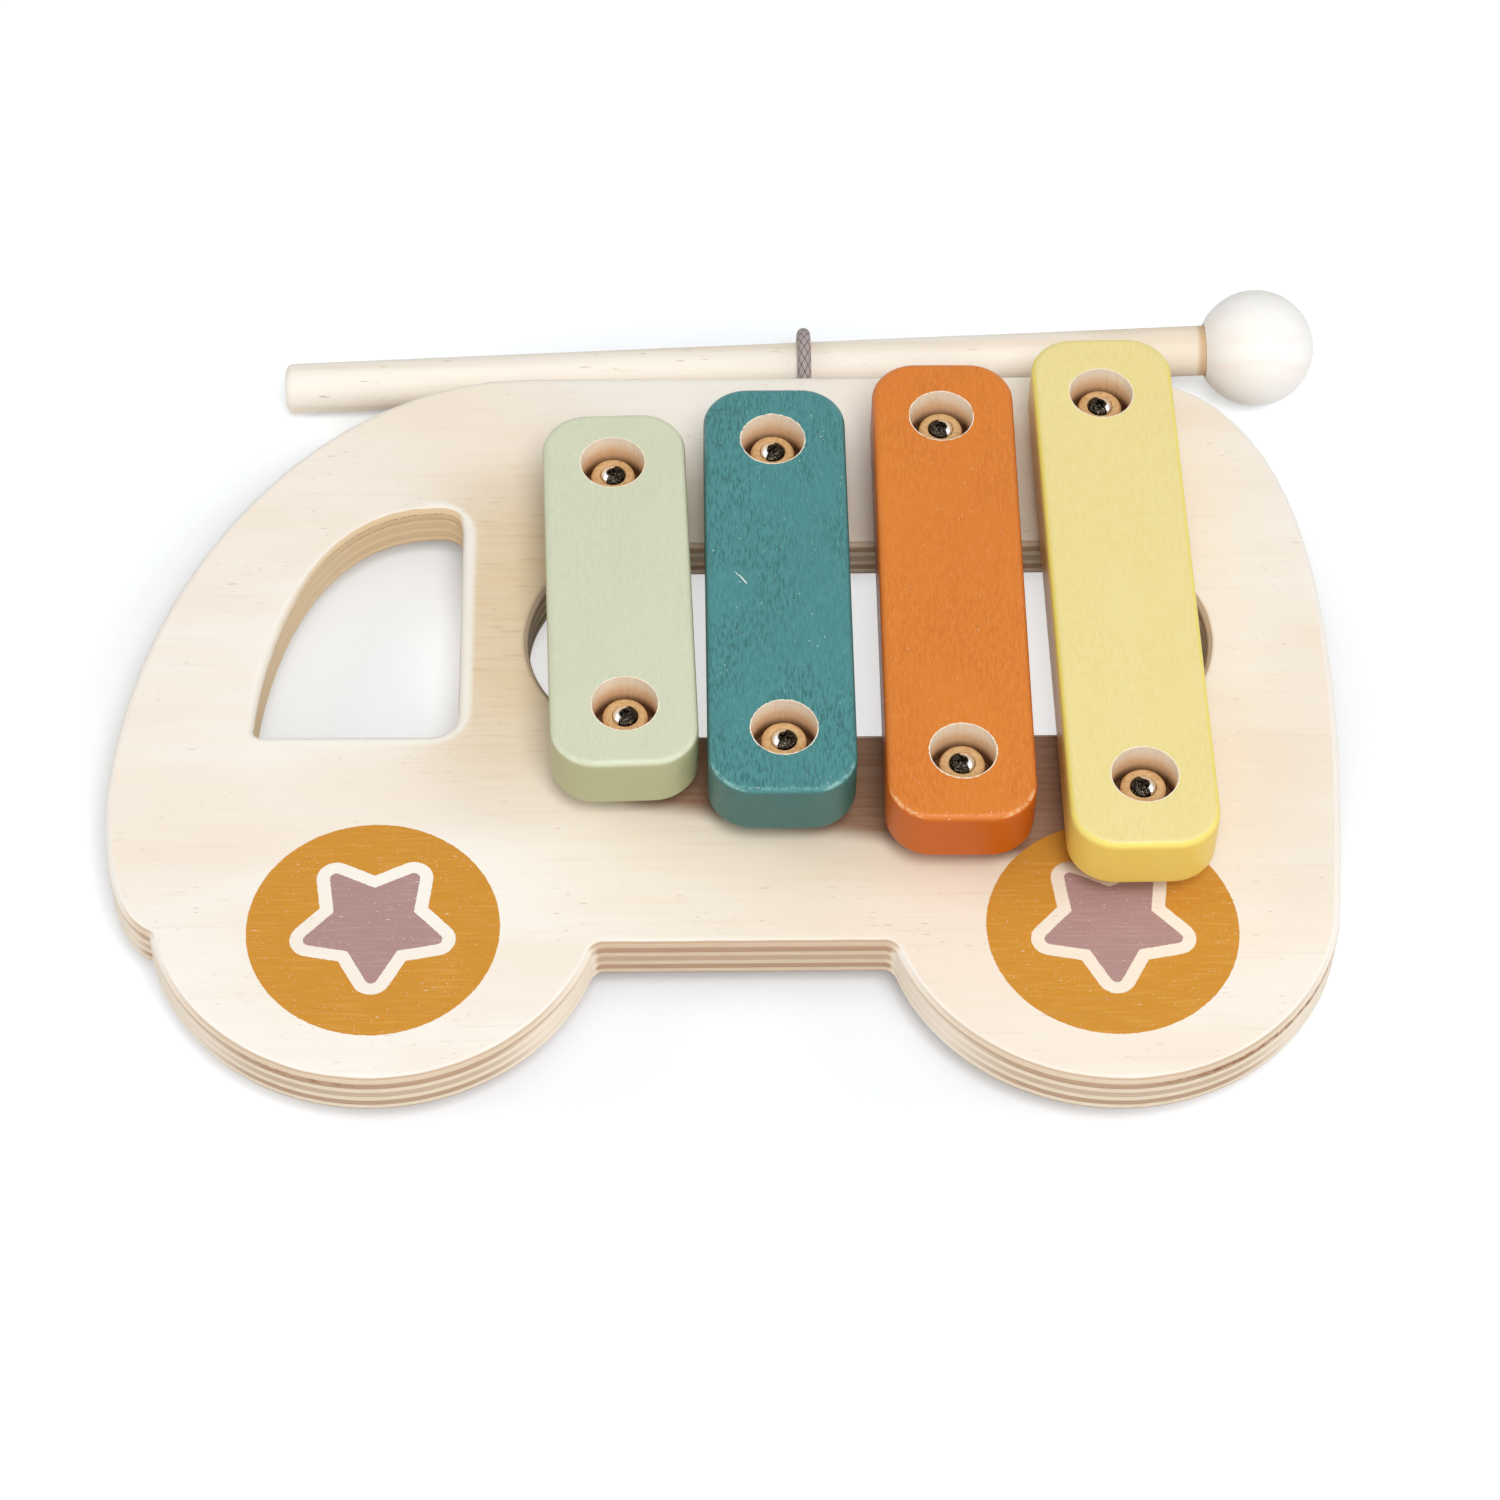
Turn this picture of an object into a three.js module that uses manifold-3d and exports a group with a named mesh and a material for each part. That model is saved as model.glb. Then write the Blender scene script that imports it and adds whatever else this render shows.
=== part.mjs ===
// A toy xylophone in the shape of a small bus. A plywood board lies flat on four
// rubber feet. It has a window that serves as a grip, a resonance slot, and an
// arch between its two wheel bulges. Four wooden bars lie across the slot, each
// on rubber cushions under two screws. A mallet is held behind the roof edge by
// an elastic loop, and slides along its own stick.
//
// Millimetres, +Z up. X runs from the nose of the bus to its tail and Y from its
// wheels to its roof. The origin is the middle of the footprint, on the floor.

import * as THREE from 'three';
import { mergeVertices } from 'three/addons/utils/BufferGeometryUtils.js';
import Module from 'manifold-3d';

const wasm = await Module();
wasm.setup();

// Board
const boardLength = 275.5;
const boardDepth = 197.5;
const boardThickness = 12;
const boardRounding = 2;
const wheelBulgeRadius = 50.2;
const noseWheelInset = 10.55;
const tailWheelInset = 3.94;
const tailWheelDrop = 1.5;
const archDepth = 34.3;
const archCorner = 3;
const bumperAngle = 194;
const tailSeamAngle = -6;

// Window, set back from the nose and the roof
const windowLength = 45.8;
const windowHeight = 64.5;
const windowNoseRail = 31.7;
const windowRoofRail = 41.4;
const windowTopCorner = 6;
const windowSillCorner = 7;
const windowNoseCorner = 2.5;

// Resonance slot, set back from the window, the tail and the roof
const pillarWidth = 15.6;
const slotWidth = 54.2;
const slotTailRail = 27.7;
const slotRoofRail = 52.1;

// Bars, the shortest one nearest to the window
const barGap = 5;
const barRowInset = 2.15;
const barThickness = 15;
const barLift = 6.2;
const shortestBar = 100.4;
const barStep = 15;
const barForward = 0.75;
const barCorner = 10.2;
const barRounding = 1.8;

// Screws and the rubber rings over and under each bar
const shortestScrewSpan = 69;
const screwSpanStep = 13.4;
const screwSetback = 0.8;
const screwLean = 0.6;
const counterboreDiameter = 14.6;
const counterboreDepth = 10.6;
const ringDiameter = 10;
const ringThickness = 5.1;
const ringLip = 1;
const ringRim = 0.8;
const shankDiameter = 3;
const shankClearance = 0.3;
const headDiameter = 5.6;
const headHeight = 2.1;
const headFit = 0.15;
const headShoulder = 0.7;
const screwBite = 9;
const screwPoint = 3;
const crossLength = 3.4;
const crossWidth = 0.8;
const crossDepth = 0.9;

// Feet
const footDiameter = 14;
const footTopDiameter = 12;
const footHeight = 6;
const footRounding = 0.8;
const footRoofRail = 20.5;

// Mallet
const stickDiameter = 12;
const stickRounding = 2;
const ballDiameter = 28;
const ballBoreDepth = 14;
const ballFit = 0.15;
const tailReach = 124.5;
const ballReach = 109;
const tailLift = 0.7;
const malletTurn = 1.26;

// Elastic loop
const cordDiameter = 3.2;
const cordClearance = 0.25;
const cordBed = 0.5;
const cordInset = 12;
const cordEndOverlap = 0.3;
const cordHoleClearance = 0.3;
const loopShare = 0.0733;

// One overrun serves every cut
const overrun = 1;

// Steps round curves
const fineSteps = 24;
const coarseSteps = 16;
const cordSteps = 8;
const domeSteps = 4;
const bevelSteps = 2;
const boardCurveSteps = 20;
const barCurveSteps = 4;

// Bars, from the shortest to the longest. Each was screwed down by hand, so it
// leans a little and sits a little off the even pitch.
const bars = [
  { name: 'green', lean: 1.7, shiftShare: -0.005, colour: 0xcfd6bb },
  { name: 'teal', lean: 0, shiftShare: -0.055, colour: 0x4f8f8e },
  { name: 'orange', lean: -0.2, shiftShare: -0.02, colour: 0xde823c },
  { name: 'yellow', lean: 0.7, shiftShare: -0.002, colour: 0xefdd92 },
];

// What follows from the sizes above
const halfLength = boardLength / 2;
const halfDepth = boardDepth / 2;
const boardBottom = footHeight;
const boardTop = boardBottom + boardThickness;
const barBottom = boardTop + barLift;
const wheelY = wheelBulgeRadius - halfDepth;
const tailWheelY = wheelY - tailWheelDrop;
const noseWheelX = wheelBulgeRadius + noseWheelInset - halfLength;
const tailWheelX = halfLength - tailWheelInset - wheelBulgeRadius;
const slotLength = boardLength - windowNoseRail - windowLength - pillarWidth - slotTailRail;
const slotX = halfLength - slotTailRail - slotLength / 2;
const slotY = halfDepth - slotRoofRail - slotWidth / 2;
const barPitch = (slotLength - 2 * barRowInset) / bars.length;
const barWidth = barPitch - barGap;
const barY = slotY - barForward;
const stickRadius = stickDiameter / 2;
const ballRadius = ballDiameter / 2;
const cordRadius = cordDiameter / 2;
const loopRadius = stickRadius + cordClearance + cordRadius;
const loopX = loopShare * boardLength;
const loopY = halfDepth + loopRadius + cordRadius - cordBed;
const malletTilt = Math.asin((ballRadius - stickRadius - tailLift) / (tailReach + ballReach));
const loopZ = ballRadius - ballReach * Math.sin(malletTilt);

const finishes = {
  ply: { color: 0xf3e2c8, roughness: 0.6, metalness: 0 },
  beech: { color: 0xf4e6d0, roughness: 0.55, metalness: 0 },
  rubber: { color: 0xe6b97c, roughness: 0.8, metalness: 0 },
  foot: { color: 0x3a3a3c, roughness: 0.85, metalness: 0 },
  steel: { color: 0xc9ccd0, roughness: 0.2, metalness: 1 },
  elastic: { color: 0x9a8a8a, roughness: 0.9, metalness: 0 },
};

const radians = THREE.MathUtils.degToRad;

function piece(name, geometry, finish) {
  const mesh = new THREE.Mesh(geometry, new THREE.MeshStandardMaterial(finish));
  mesh.name = name;
  return mesh;
}

// A closed geometry becomes a solid, moved to its place first.
function solid(geometry, x = 0, y = 0, z = 0) {
  const bare = geometry.clone().translate(x, y, z);
  bare.deleteAttribute('normal');
  bare.deleteAttribute('uv');
  const merged = mergeVertices(bare);
  const vertProperties = new Float32Array(merged.attributes.position.array);
  const triVerts = new Uint32Array(merged.index.array);
  return new wasm.Manifold(new wasm.Mesh({ numProp: 3, vertProperties, triVerts }));
}

function geometryOf(shape) {
  const mesh = shape.getMesh();
  const geometry = new THREE.BufferGeometry();
  geometry.setAttribute('position', new THREE.BufferAttribute(new Float32Array(mesh.vertProperties), 3));
  geometry.setIndex(new THREE.BufferAttribute(new Uint32Array(mesh.triVerts), 1));
  geometry.computeVertexNormals();
  return geometry;
}

// Cylinders stand on z = 0.
function upright(radius, height, steps = fineSteps, topRadius = radius) {
  const geometry = new THREE.CylinderGeometry(topRadius, radius, height, steps);
  return geometry.rotateX(Math.PI / 2).translate(0, 0, height / 2);
}

// A flat outline becomes a slab on z = 0 with rounded upper and lower edges.
function slab(shape, thickness, rounding, curveSteps) {
  return new THREE.ExtrudeGeometry(shape, {
    depth: thickness - 2 * rounding,
    bevelEnabled: true,
    bevelThickness: rounding,
    bevelSize: rounding,
    bevelOffset: -rounding,
    bevelSegments: bevelSteps,
    curveSegments: curveSteps,
  }).translate(0, 0, rounding);
}

// Points of the free curves, as shares of the board's length and depth
const tailRoofShares = [[0.5, 0.0405], [0.5, 0.324], [0.457, 0.5], [0.334, 0.5]];
const noseRoofShares = [[-0.167, 0.5], [-0.341, 0.5], [-0.492, 0.213], [-0.5, -0.1165]];

// Control points of the two curves that meet the wheels, as shares of their spans
const tailSideShares = [[0.44, 0.306], [1, 0.621]];
const bumperShares = [[0.046, 0.584], [0.388, 0.914]];

// The same for the window's curved side, as shares of its length and height
const windowCurveShares = [[0.211, 1.005], [0.028, 0.375]];

function windowPath() {
  const left = windowNoseRail - halfLength;
  const right = left + windowLength;
  const top = halfDepth - windowRoofRail;
  const sill = top - windowHeight;
  const [[upperX, upperY], [lowerX, lowerY]] = windowCurveShares;
  const path = new THREE.Path();
  path.moveTo(left + windowNoseCorner, sill);
  path.lineTo(right - windowSillCorner, sill);
  path.quadraticCurveTo(right, sill, right, sill + windowSillCorner);
  path.lineTo(right, top - windowTopCorner);
  path.quadraticCurveTo(right, top, right - windowTopCorner, top);
  path.bezierCurveTo(
    left + upperX * windowLength, sill + upperY * windowHeight,
    left + lowerX * windowLength, sill + lowerY * windowHeight,
    left, sill + windowNoseCorner,
  );
  path.quadraticCurveTo(left, sill, left + windowNoseCorner, sill);
  return path;
}

function slotPath() {
  const radius = slotWidth / 2;
  const reach = slotLength / 2 - radius;
  const path = new THREE.Path();
  path.absarc(slotX + reach, slotY, radius, -Math.PI / 2, Math.PI / 2, false);
  path.absarc(slotX - reach, slotY, radius, Math.PI / 2, 3 * Math.PI / 2, false);
  path.closePath();
  return path;
}

// A curve from where the shape ends to another point, by shares of its span
function curveTo(shape, shares, x, y) {
  const { x: startX, y: startY } = shape.currentPoint;
  const controls = shares.map(([across, up]) => [
    startX + across * (x - startX),
    startY + up * (y - startY),
  ]);
  shape.bezierCurveTo(...controls.flat(), x, y);
}

// The outline runs from the bumper along the wheels to the tail, and back along
// the roof to the nose. The arch meets both wheels in small rounded corners.
function boardOutline() {
  const archY = archDepth - halfDepth - archCorner;
  const archReach = wheelBulgeRadius + archCorner;
  const noseArchAngle = Math.asin((archY - wheelY) / archReach);
  const tailArchAngle = Math.asin((archY - tailWheelY) / archReach);
  const noseArchX = noseWheelX + archReach * Math.cos(noseArchAngle);
  const tailArchX = tailWheelX - archReach * Math.cos(tailArchAngle);
  const bumper = radians(bumperAngle);
  const bumperX = noseWheelX + wheelBulgeRadius * Math.cos(bumper);
  const bumperY = wheelY + wheelBulgeRadius * Math.sin(bumper);
  const tailSeam = 2 * Math.PI + radians(tailSeamAngle);
  const place = ([x, y]) => [x * boardLength, y * boardDepth];
  const shape = new THREE.Shape();
  shape.absarc(noseWheelX, wheelY, wheelBulgeRadius, bumper, 2 * Math.PI + noseArchAngle, false);
  shape.absarc(noseArchX, archY, archCorner, Math.PI + noseArchAngle, Math.PI / 2, true);
  shape.absarc(tailArchX, archY, archCorner, Math.PI / 2, -tailArchAngle, true);
  shape.absarc(tailWheelX, tailWheelY, wheelBulgeRadius, Math.PI - tailArchAngle, tailSeam, false);
  curveTo(shape, tailSideShares, ...place(tailRoofShares[0]));
  shape.bezierCurveTo(...tailRoofShares.slice(1).flatMap(place));
  shape.lineTo(...place(noseRoofShares[0]));
  shape.bezierCurveTo(...noseRoofShares.slice(1).flatMap(place));
  curveTo(shape, bumperShares, bumperX, bumperY);
  return shape;
}

function barLength(index) {
  return shortestBar + index * barStep;
}

function screwSpan(index) {
  return shortestScrewSpan + index * screwSpanStep;
}

function barX(index) {
  const middle = (bars.length - 1) / 2;
  return slotX + (index - middle + bars[index].shiftShare) * barPitch;
}

// The two screws of a bar in its own frame, the one nearest to the roof first.
// Their line leans a little more than the bar.
function screwPlaces(index) {
  const reachX = Math.sin(radians(screwLean)) * screwSpan(index) / 2;
  const reachY = screwSpan(index) / 2;
  return [
    { end: 'back', x: -reachX, y: screwSetback + reachY },
    { end: 'front', x: reachX, y: screwSetback - reachY },
  ];
}

// Where a point of a bar's own frame lies on the board
function onBoard(index, x, y) {
  const place = new THREE.Vector2(x, y).rotateAround(new THREE.Vector2(), radians(bars[index].lean));
  return [barX(index) + place.x, barY + place.y];
}

// Plywood board, with pilot holes for the screws and a hole for the cord's ends
function boardPiece() {
  const outline = boardOutline();
  outline.holes.push(windowPath(), slotPath());
  let board = solid(slab(outline, boardThickness, boardRounding, boardCurveSteps));
  const pilot = upright(shankDiameter / 2 + shankClearance, screwBite + 2 * overrun, coarseSteps);
  bars.forEach((bar, index) => {
    for (const { x, y } of screwPlaces(index)) {
      const place = onBoard(index, x, y);
      board = board.subtract(solid(pilot, ...place, boardThickness - screwBite - overrun));
    }
  });
  const holeRadius = 2 * cordRadius - cordEndOverlap / 2 + cordHoleClearance;
  const hole = upright(holeRadius, cordInset + 2 * overrun, coarseSteps);
  hole.rotateX(-Math.PI / 2);
  const mouth = halfDepth - cordInset - overrun;
  board = board.subtract(solid(hole, loopX, mouth, loopZ - boardBottom));
  const mesh = piece('bus_board', geometryOf(board), finishes.ply);
  mesh.position.z = boardBottom;
  return mesh;
}

// A bar is a rounded slab with two counterbored screw holes.
function barPiece(index) {
  const corner = Math.min(barCorner, barWidth / 2 - barRounding);
  const reachX = barWidth / 2 - corner;
  const reachY = barLength(index) / 2 - corner;
  const shape = new THREE.Shape();
  shape.absarc(reachX, -reachY, corner, -Math.PI / 2, 0, false);
  shape.absarc(reachX, reachY, corner, 0, Math.PI / 2, false);
  shape.absarc(-reachX, reachY, corner, Math.PI / 2, Math.PI, false);
  shape.absarc(-reachX, -reachY, corner, Math.PI, 3 * Math.PI / 2, false);
  let bar = solid(slab(shape, barThickness, barRounding, barCurveSteps));
  const bore = upright(counterboreDiameter / 2, counterboreDepth + overrun);
  const shankHole = upright(shankDiameter / 2 + shankClearance, barThickness + 2 * overrun, coarseSteps);
  for (const { x, y } of screwPlaces(index)) {
    bar = bar.subtract(solid(bore, x, y, barThickness - counterboreDepth));
    bar = bar.subtract(solid(shankHole, x, y, -overrun));
  }
  const { name, colour } = bars[index];
  return piece(`bar_${name}`, geometryOf(bar), { color: colour, roughness: 0.55, metalness: 0 });
}

// A ring on z = 0 with its upper rim broken. The last points of its section
// shape the bore.
function ringGeometry(height, ...bore) {
  const outer = ringDiameter / 2;
  const section = [[outer, 0], [outer, height - ringRim], [outer - ringRim, height], ...bore];
  section.push(section[0]);
  const profile = section.map(([x, y]) => new THREE.Vector2(x, y));
  return new THREE.LatheGeometry(profile, coarseSteps).rotateX(Math.PI / 2);
}

// Rubber rings: one on the floor of the counterbore with a lip round the screw's
// head, one between bar and board
function ringPieces(name, end, x, y) {
  const inner = shankDiameter / 2 + shankClearance;
  const seat = headDiameter / 2 + headFit;
  const lip = ringThickness + ringLip;
  const cup = ringGeometry(lip, [seat, lip], [seat, ringThickness], [inner, ringThickness], [inner, 0]);
  const upper = piece(`ring_${name}_${end}`, cup, finishes.rubber);
  upper.position.set(x, y, barThickness - counterboreDepth);
  const pad = ringGeometry(barLift, [inner, barLift], [inner, 0]);
  const lower = piece(`cushion_${name}_${end}`, pad, finishes.rubber);
  lower.position.set(x, y, -barLift);
  return [upper, lower];
}

// A domed screw with a cross recess. Its origin is the underside of its head.
function screwGeometry() {
  const shankRadius = shankDiameter / 2;
  const headRadius = headDiameter / 2;
  const grip = ringThickness + barThickness - counterboreDepth + barLift;
  const length = grip + screwBite;
  const profile = [new THREE.Vector2(0, -length)];
  profile.push(new THREE.Vector2(shankRadius, screwPoint - length));
  profile.push(new THREE.Vector2(shankRadius, 0));
  profile.push(new THREE.Vector2(headRadius, 0));
  for (let step = 0; step < domeSteps; step += 1) {
    const angle = (step / domeSteps) * Math.PI / 2;
    const rise = (headHeight - headShoulder) * Math.sin(angle);
    profile.push(new THREE.Vector2(headRadius * Math.cos(angle), headShoulder + rise));
  }
  profile.push(new THREE.Vector2(0, headHeight));
  const body = new THREE.LatheGeometry(profile, coarseSteps).rotateX(Math.PI / 2);
  const blade = new THREE.BoxGeometry(crossLength, crossWidth, 2 * crossDepth);
  const otherBlade = new THREE.BoxGeometry(crossWidth, crossLength, 2 * crossDepth);
  const recess = solid(blade, 0, 0, headHeight).add(solid(otherBlade, 0, 0, headHeight));
  return geometryOf(solid(body).subtract(recess));
}

// One bar with its rings and screws, turned together on the board
function barGroup(index) {
  const { name, lean } = bars[index];
  const group = new THREE.Group();
  group.position.set(barX(index), barY, barBottom);
  group.rotation.z = radians(lean);
  group.add(barPiece(index));
  for (const { end, x, y } of screwPlaces(index)) {
    group.add(...ringPieces(name, end, x, y));
    const screw = piece(`screw_${name}_${end}`, screwGeometry(), finishes.steel);
    screw.position.set(x, y, barThickness - counterboreDepth + ringThickness);
    group.add(screw);
  }
  return group;
}

// Rubber feet under the wheels and under the roof rail
function footPieces() {
  const bottom = footDiameter / 2;
  const top = footTopDiameter / 2;
  const profile = [
    [0, 0], [bottom - footRounding, 0], [bottom, footRounding],
    [top, footHeight], [0, footHeight],
  ].map(([x, y]) => new THREE.Vector2(x, y));
  const columns = [['nose', noseWheelX], ['tail', tailWheelX]];
  const rows = [['front', wheelY], ['back', halfDepth - footRoofRail]];
  return columns.flatMap(([columnName, x]) => rows.map(([rowName, y]) => {
    const geometry = new THREE.LatheGeometry(profile, coarseSteps).rotateX(Math.PI / 2);
    const foot = piece(`foot_${columnName}_${rowName}`, geometry, finishes.foot);
    foot.position.set(x, y, 0);
    return foot;
  }));
}

// The stick lies along X, from its rounded tail into the ball. The origin is
// where the elastic loop holds it.
function stickPiece() {
  const start = -tailReach;
  const end = ballReach + ballBoreDepth - ballRadius - ballFit;
  const profile = [new THREE.Vector2(0, start)];
  for (let step = 0; step <= bevelSteps; step += 1) {
    const angle = (step / bevelSteps) * Math.PI / 2;
    const radius = stickRadius - stickRounding * (1 - Math.sin(angle));
    profile.push(new THREE.Vector2(radius, start + stickRounding * (1 - Math.cos(angle))));
  }
  profile.push(new THREE.Vector2(stickRadius, end), new THREE.Vector2(0, end));
  const geometry = new THREE.LatheGeometry(profile, fineSteps).rotateZ(-Math.PI / 2);
  return piece('mallet_stick', geometry, finishes.beech);
}

function ballPiece() {
  const bore = upright(stickRadius + ballFit, ballBoreDepth + overrun).rotateY(Math.PI / 2);
  const ball = solid(new THREE.SphereGeometry(ballRadius, fineSteps, coarseSteps));
  const drilled = ball.subtract(solid(bore, -ballRadius - overrun));
  const mesh = piece('mallet_ball', geometryOf(drilled), finishes.beech);
  mesh.position.x = ballReach;
  return mesh;
}

// The mallet leans from its ball, which lies on the floor, down to its tail.
function malletGroup() {
  const group = new THREE.Group();
  group.position.set(loopX, loopY, loopZ);
  group.rotation.order = 'ZYX';
  group.rotation.set(0, -malletTilt, radians(malletTurn));
  group.add(stickPiece(), ballPiece());
  return group;
}

// The elastic loop goes round the stick, and its two ends lie one above the
// other in the hole in the board's edge.
function loopPiece() {
  const ring = new THREE.TorusGeometry(loopRadius, cordRadius, cordSteps, fineSteps).rotateY(Math.PI / 2);
  const reach = cordInset + loopY - halfDepth - loopRadius;
  const end = upright(cordRadius, reach, cordSteps).rotateX(Math.PI / 2);
  const offset = cordRadius - cordEndOverlap / 2;
  let loop = solid(ring);
  for (const z of [-offset, offset]) {
    loop = loop.add(solid(end, 0, -loopRadius, z));
  }
  const mesh = piece('elastic_loop', geometryOf(loop), finishes.elastic);
  mesh.position.set(loopX, loopY, loopZ);
  return mesh;
}

const toy = new THREE.Group();
toy.add(boardPiece(), ...footPieces());
bars.forEach((bar, index) => toy.add(barGroup(index)));
toy.add(malletGroup(), loopPiece());

const footprint = new THREE.Box3().setFromObject(toy, true);
const middle = footprint.getCenter(new THREE.Vector3());
toy.position.set(-middle.x, -middle.y, -footprint.min.z);

const xylophone = new THREE.Group();
xylophone.add(toy);

export default xylophone;
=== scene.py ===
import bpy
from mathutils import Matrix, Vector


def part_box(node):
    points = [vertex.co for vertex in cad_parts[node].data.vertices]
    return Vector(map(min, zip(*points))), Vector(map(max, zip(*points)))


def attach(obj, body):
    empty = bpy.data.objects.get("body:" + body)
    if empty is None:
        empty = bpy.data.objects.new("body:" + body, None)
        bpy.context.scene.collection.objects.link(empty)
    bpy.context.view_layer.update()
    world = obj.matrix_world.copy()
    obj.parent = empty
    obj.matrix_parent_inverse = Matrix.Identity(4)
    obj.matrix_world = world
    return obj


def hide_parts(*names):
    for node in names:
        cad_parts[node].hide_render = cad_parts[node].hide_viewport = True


bl_info = {
    "name": "Wooden bus xylophone",
    "version": (1, 0, 0),
    "blender": (4, 5, 0),
    "location": "3D View > Sidebar > Xylophone",
    "description": "Builds the finished look of a wooden toy xylophone round its CAD frame",
    "category": "Object",
}

import math
from functools import reduce

import bmesh
import bpy
from bpy.props import FloatProperty, FloatVectorProperty, PointerProperty
from bpy.types import Operator, Panel, PropertyGroup
from mathutils import Matrix, Vector

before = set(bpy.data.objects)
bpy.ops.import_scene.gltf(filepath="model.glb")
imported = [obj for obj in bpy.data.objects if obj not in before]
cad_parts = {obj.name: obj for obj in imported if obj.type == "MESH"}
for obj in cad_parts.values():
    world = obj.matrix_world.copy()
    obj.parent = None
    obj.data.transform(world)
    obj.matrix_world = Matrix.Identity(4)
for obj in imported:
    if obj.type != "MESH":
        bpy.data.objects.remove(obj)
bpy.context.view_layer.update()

BARS = ("green", "teal", "orange", "yellow")
ENDS = ("back", "front")
MILLIMETRES = 1000
TOUCHING = 1e-6


# Properties

def linear(shade):
    """A colour written 0xRRGGBB, in the linear values that Blender keeps."""
    shares = [(shade >> shift & 255) / 255 for shift in (16, 8, 0)]
    channels = [s / 12.92 if s <= 0.04045 else ((s + 0.055) / 1.055) ** 2.4 for s in shares]
    return (*channels, 1.0)


def size(name, description, default):
    return FloatProperty(name=name, description=description, default=default,
                         unit="LENGTH", subtype="DISTANCE", precision=4)


def angle(name, description, degrees):
    return FloatProperty(name=name, description=description, default=math.radians(degrees),
                         unit="ROTATION", subtype="ANGLE")


def share(name, description, default):
    return FloatProperty(name=name, description=description, default=default)


def colour(name, description, shade):
    return FloatVectorProperty(name=name, description=description, default=linear(shade),
                               subtype="COLOR", size=4, min=0, max=1)


class BoardProperties(PropertyGroup):
    length: size("Length", "Nose to tail", 0.2755)
    depth: size("Depth", "Wheels to roof", 0.1975)
    thickness: size("Thickness", "Nine plies together", 0.012)
    rounding: size("Edge rounding", "Radius of the upper and lower rims", 0.002)
    wheel_radius: size("Wheel bulge radius", "Radius of both bulges", 0.0502)
    nose_wheel_inset: size("Nose wheel inset", "Nose to the nose wheel bulge", 0.01055)
    tail_wheel_inset: size("Tail wheel inset", "Tail to the tail wheel bulge", 0.00394)
    tail_wheel_drop: size("Tail wheel drop", "How much lower the tail bulge hangs", 0.0015)
    arch_depth: size("Arch depth", "Height of the arch between the wheels", 0.0343)
    arch_corner: size("Arch corner", "Where the arch meets a wheel", 0.003)
    bumper_angle: angle("Bumper angle", "Where the nose meets its wheel", 194)
    tail_seam_angle: angle("Tail seam angle", "Where the tail meets its wheel", -6)
    window_length: size("Window length", "Along the bus", 0.0458)
    window_height: size("Window height", "Across the bus", 0.0645)
    window_nose_rail: size("Window nose rail", "Nose to window", 0.0317)
    window_roof_rail: size("Window roof rail", "Roof to window", 0.0414)
    window_top_corner: size("Window top corner", "Rounding of the upper corner", 0.006)
    window_sill_corner: size("Window sill corner", "Rounding of the lower corner", 0.007)
    window_nose_corner: size("Window nose corner", "Rounding of the nose corner", 0.0025)
    pillar_width: size("Pillar width", "Wood between window and slot", 0.0156)
    slot_width: size("Slot width", "Resonance slot, across the bus", 0.0542)
    slot_tail_rail: size("Slot tail rail", "Slot to tail", 0.0277)
    slot_roof_rail: size("Slot roof rail", "Slot to roof", 0.0521)
    ply: size("Ply", "Thickness of a ply", 0.00154)
    first_ply: size("First ply", "Depth of the face veneer and the ply under it", 0.00125)
    veneer: colour("Veneer", "Face veneer", 0xfdf7ed)
    veneer_warm: colour("Warm veneer", "Pinker clouds in the face veneer", 0xf8ead8)
    heart: colour("Heartwood", "Tan zone between window and slot", 0xe6c99c)
    heart_streak: colour("Heartwood streaks", "Short darker streaks in the tan zone", 0xcfa877)
    tanned: colour("Tanned veneer", "Warmer veneer in front of the bars", 0xf0dab8)
    # Painted shade on the board between the bars
    gap_shade: colour("Browned veneer", "Darker veneer between the bars", 0x8e6245)
    # The painted highlight on the rims and along the window
    rim_highlight: colour("Sanded rim", "Rims rubbed pale where no ply shows", 0xfffaf1)
    # Painted light: the paler bulge walls that face nose or tail
    rubbed_and_lit: colour("Rubbed wall", "Walls that face the nose or the tail", 0xfff2df)
    fleck: colour("Flecks", "Short pores in the face veneer", 0xb98f6c)
    long_ply: colour("Long ply", "Plies cut along their grain", 0xebdac0)
    cross_ply: colour("Cross ply", "Plies cut across their grain", 0xae886a)
    scorch: colour("Scorch", "Burnt streaks left by the router", 0x8a5228)


class PrintProperties(PropertyGroup):
    disc_radius: size("Disc radius", "Printed wheel", 0.0275)
    nose_disc_x: size("Nose disc X", "From the board's middle", -0.0773)
    nose_disc_y: size("Nose disc Y", "From the board's middle", -0.0595)
    tail_disc_x: size("Tail disc X", "From the board's middle", 0.0832)
    tail_disc_y: size("Tail disc Y", "From the board's middle", -0.0606)
    star_rise: size("Star rise", "Star's middle above the disc's", 0.0015)
    star_tip: size("Star tip", "Middle of a tip's rounding from the star's middle", 0.01435)
    star_waist: size("Star waist", "Core of the star between two tips", 0.00762)
    star_border: size("Border reach", "Border's rounding round the core", 0.0043)
    star_fill: size("Fill reach", "Fill's rounding round the core", 0.0014)
    ochre: colour("Ochre", "Printed disc", 0xd29236)
    ochre_worn: colour("Worn ochre", "Streaks in the printed disc", 0xe0a654)
    mauve: colour("Mauve", "Printed star", 0xb18e8a)
    mauve_worn: colour("Worn mauve", "Streaks in the printed star", 0xc2a09a)


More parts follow.
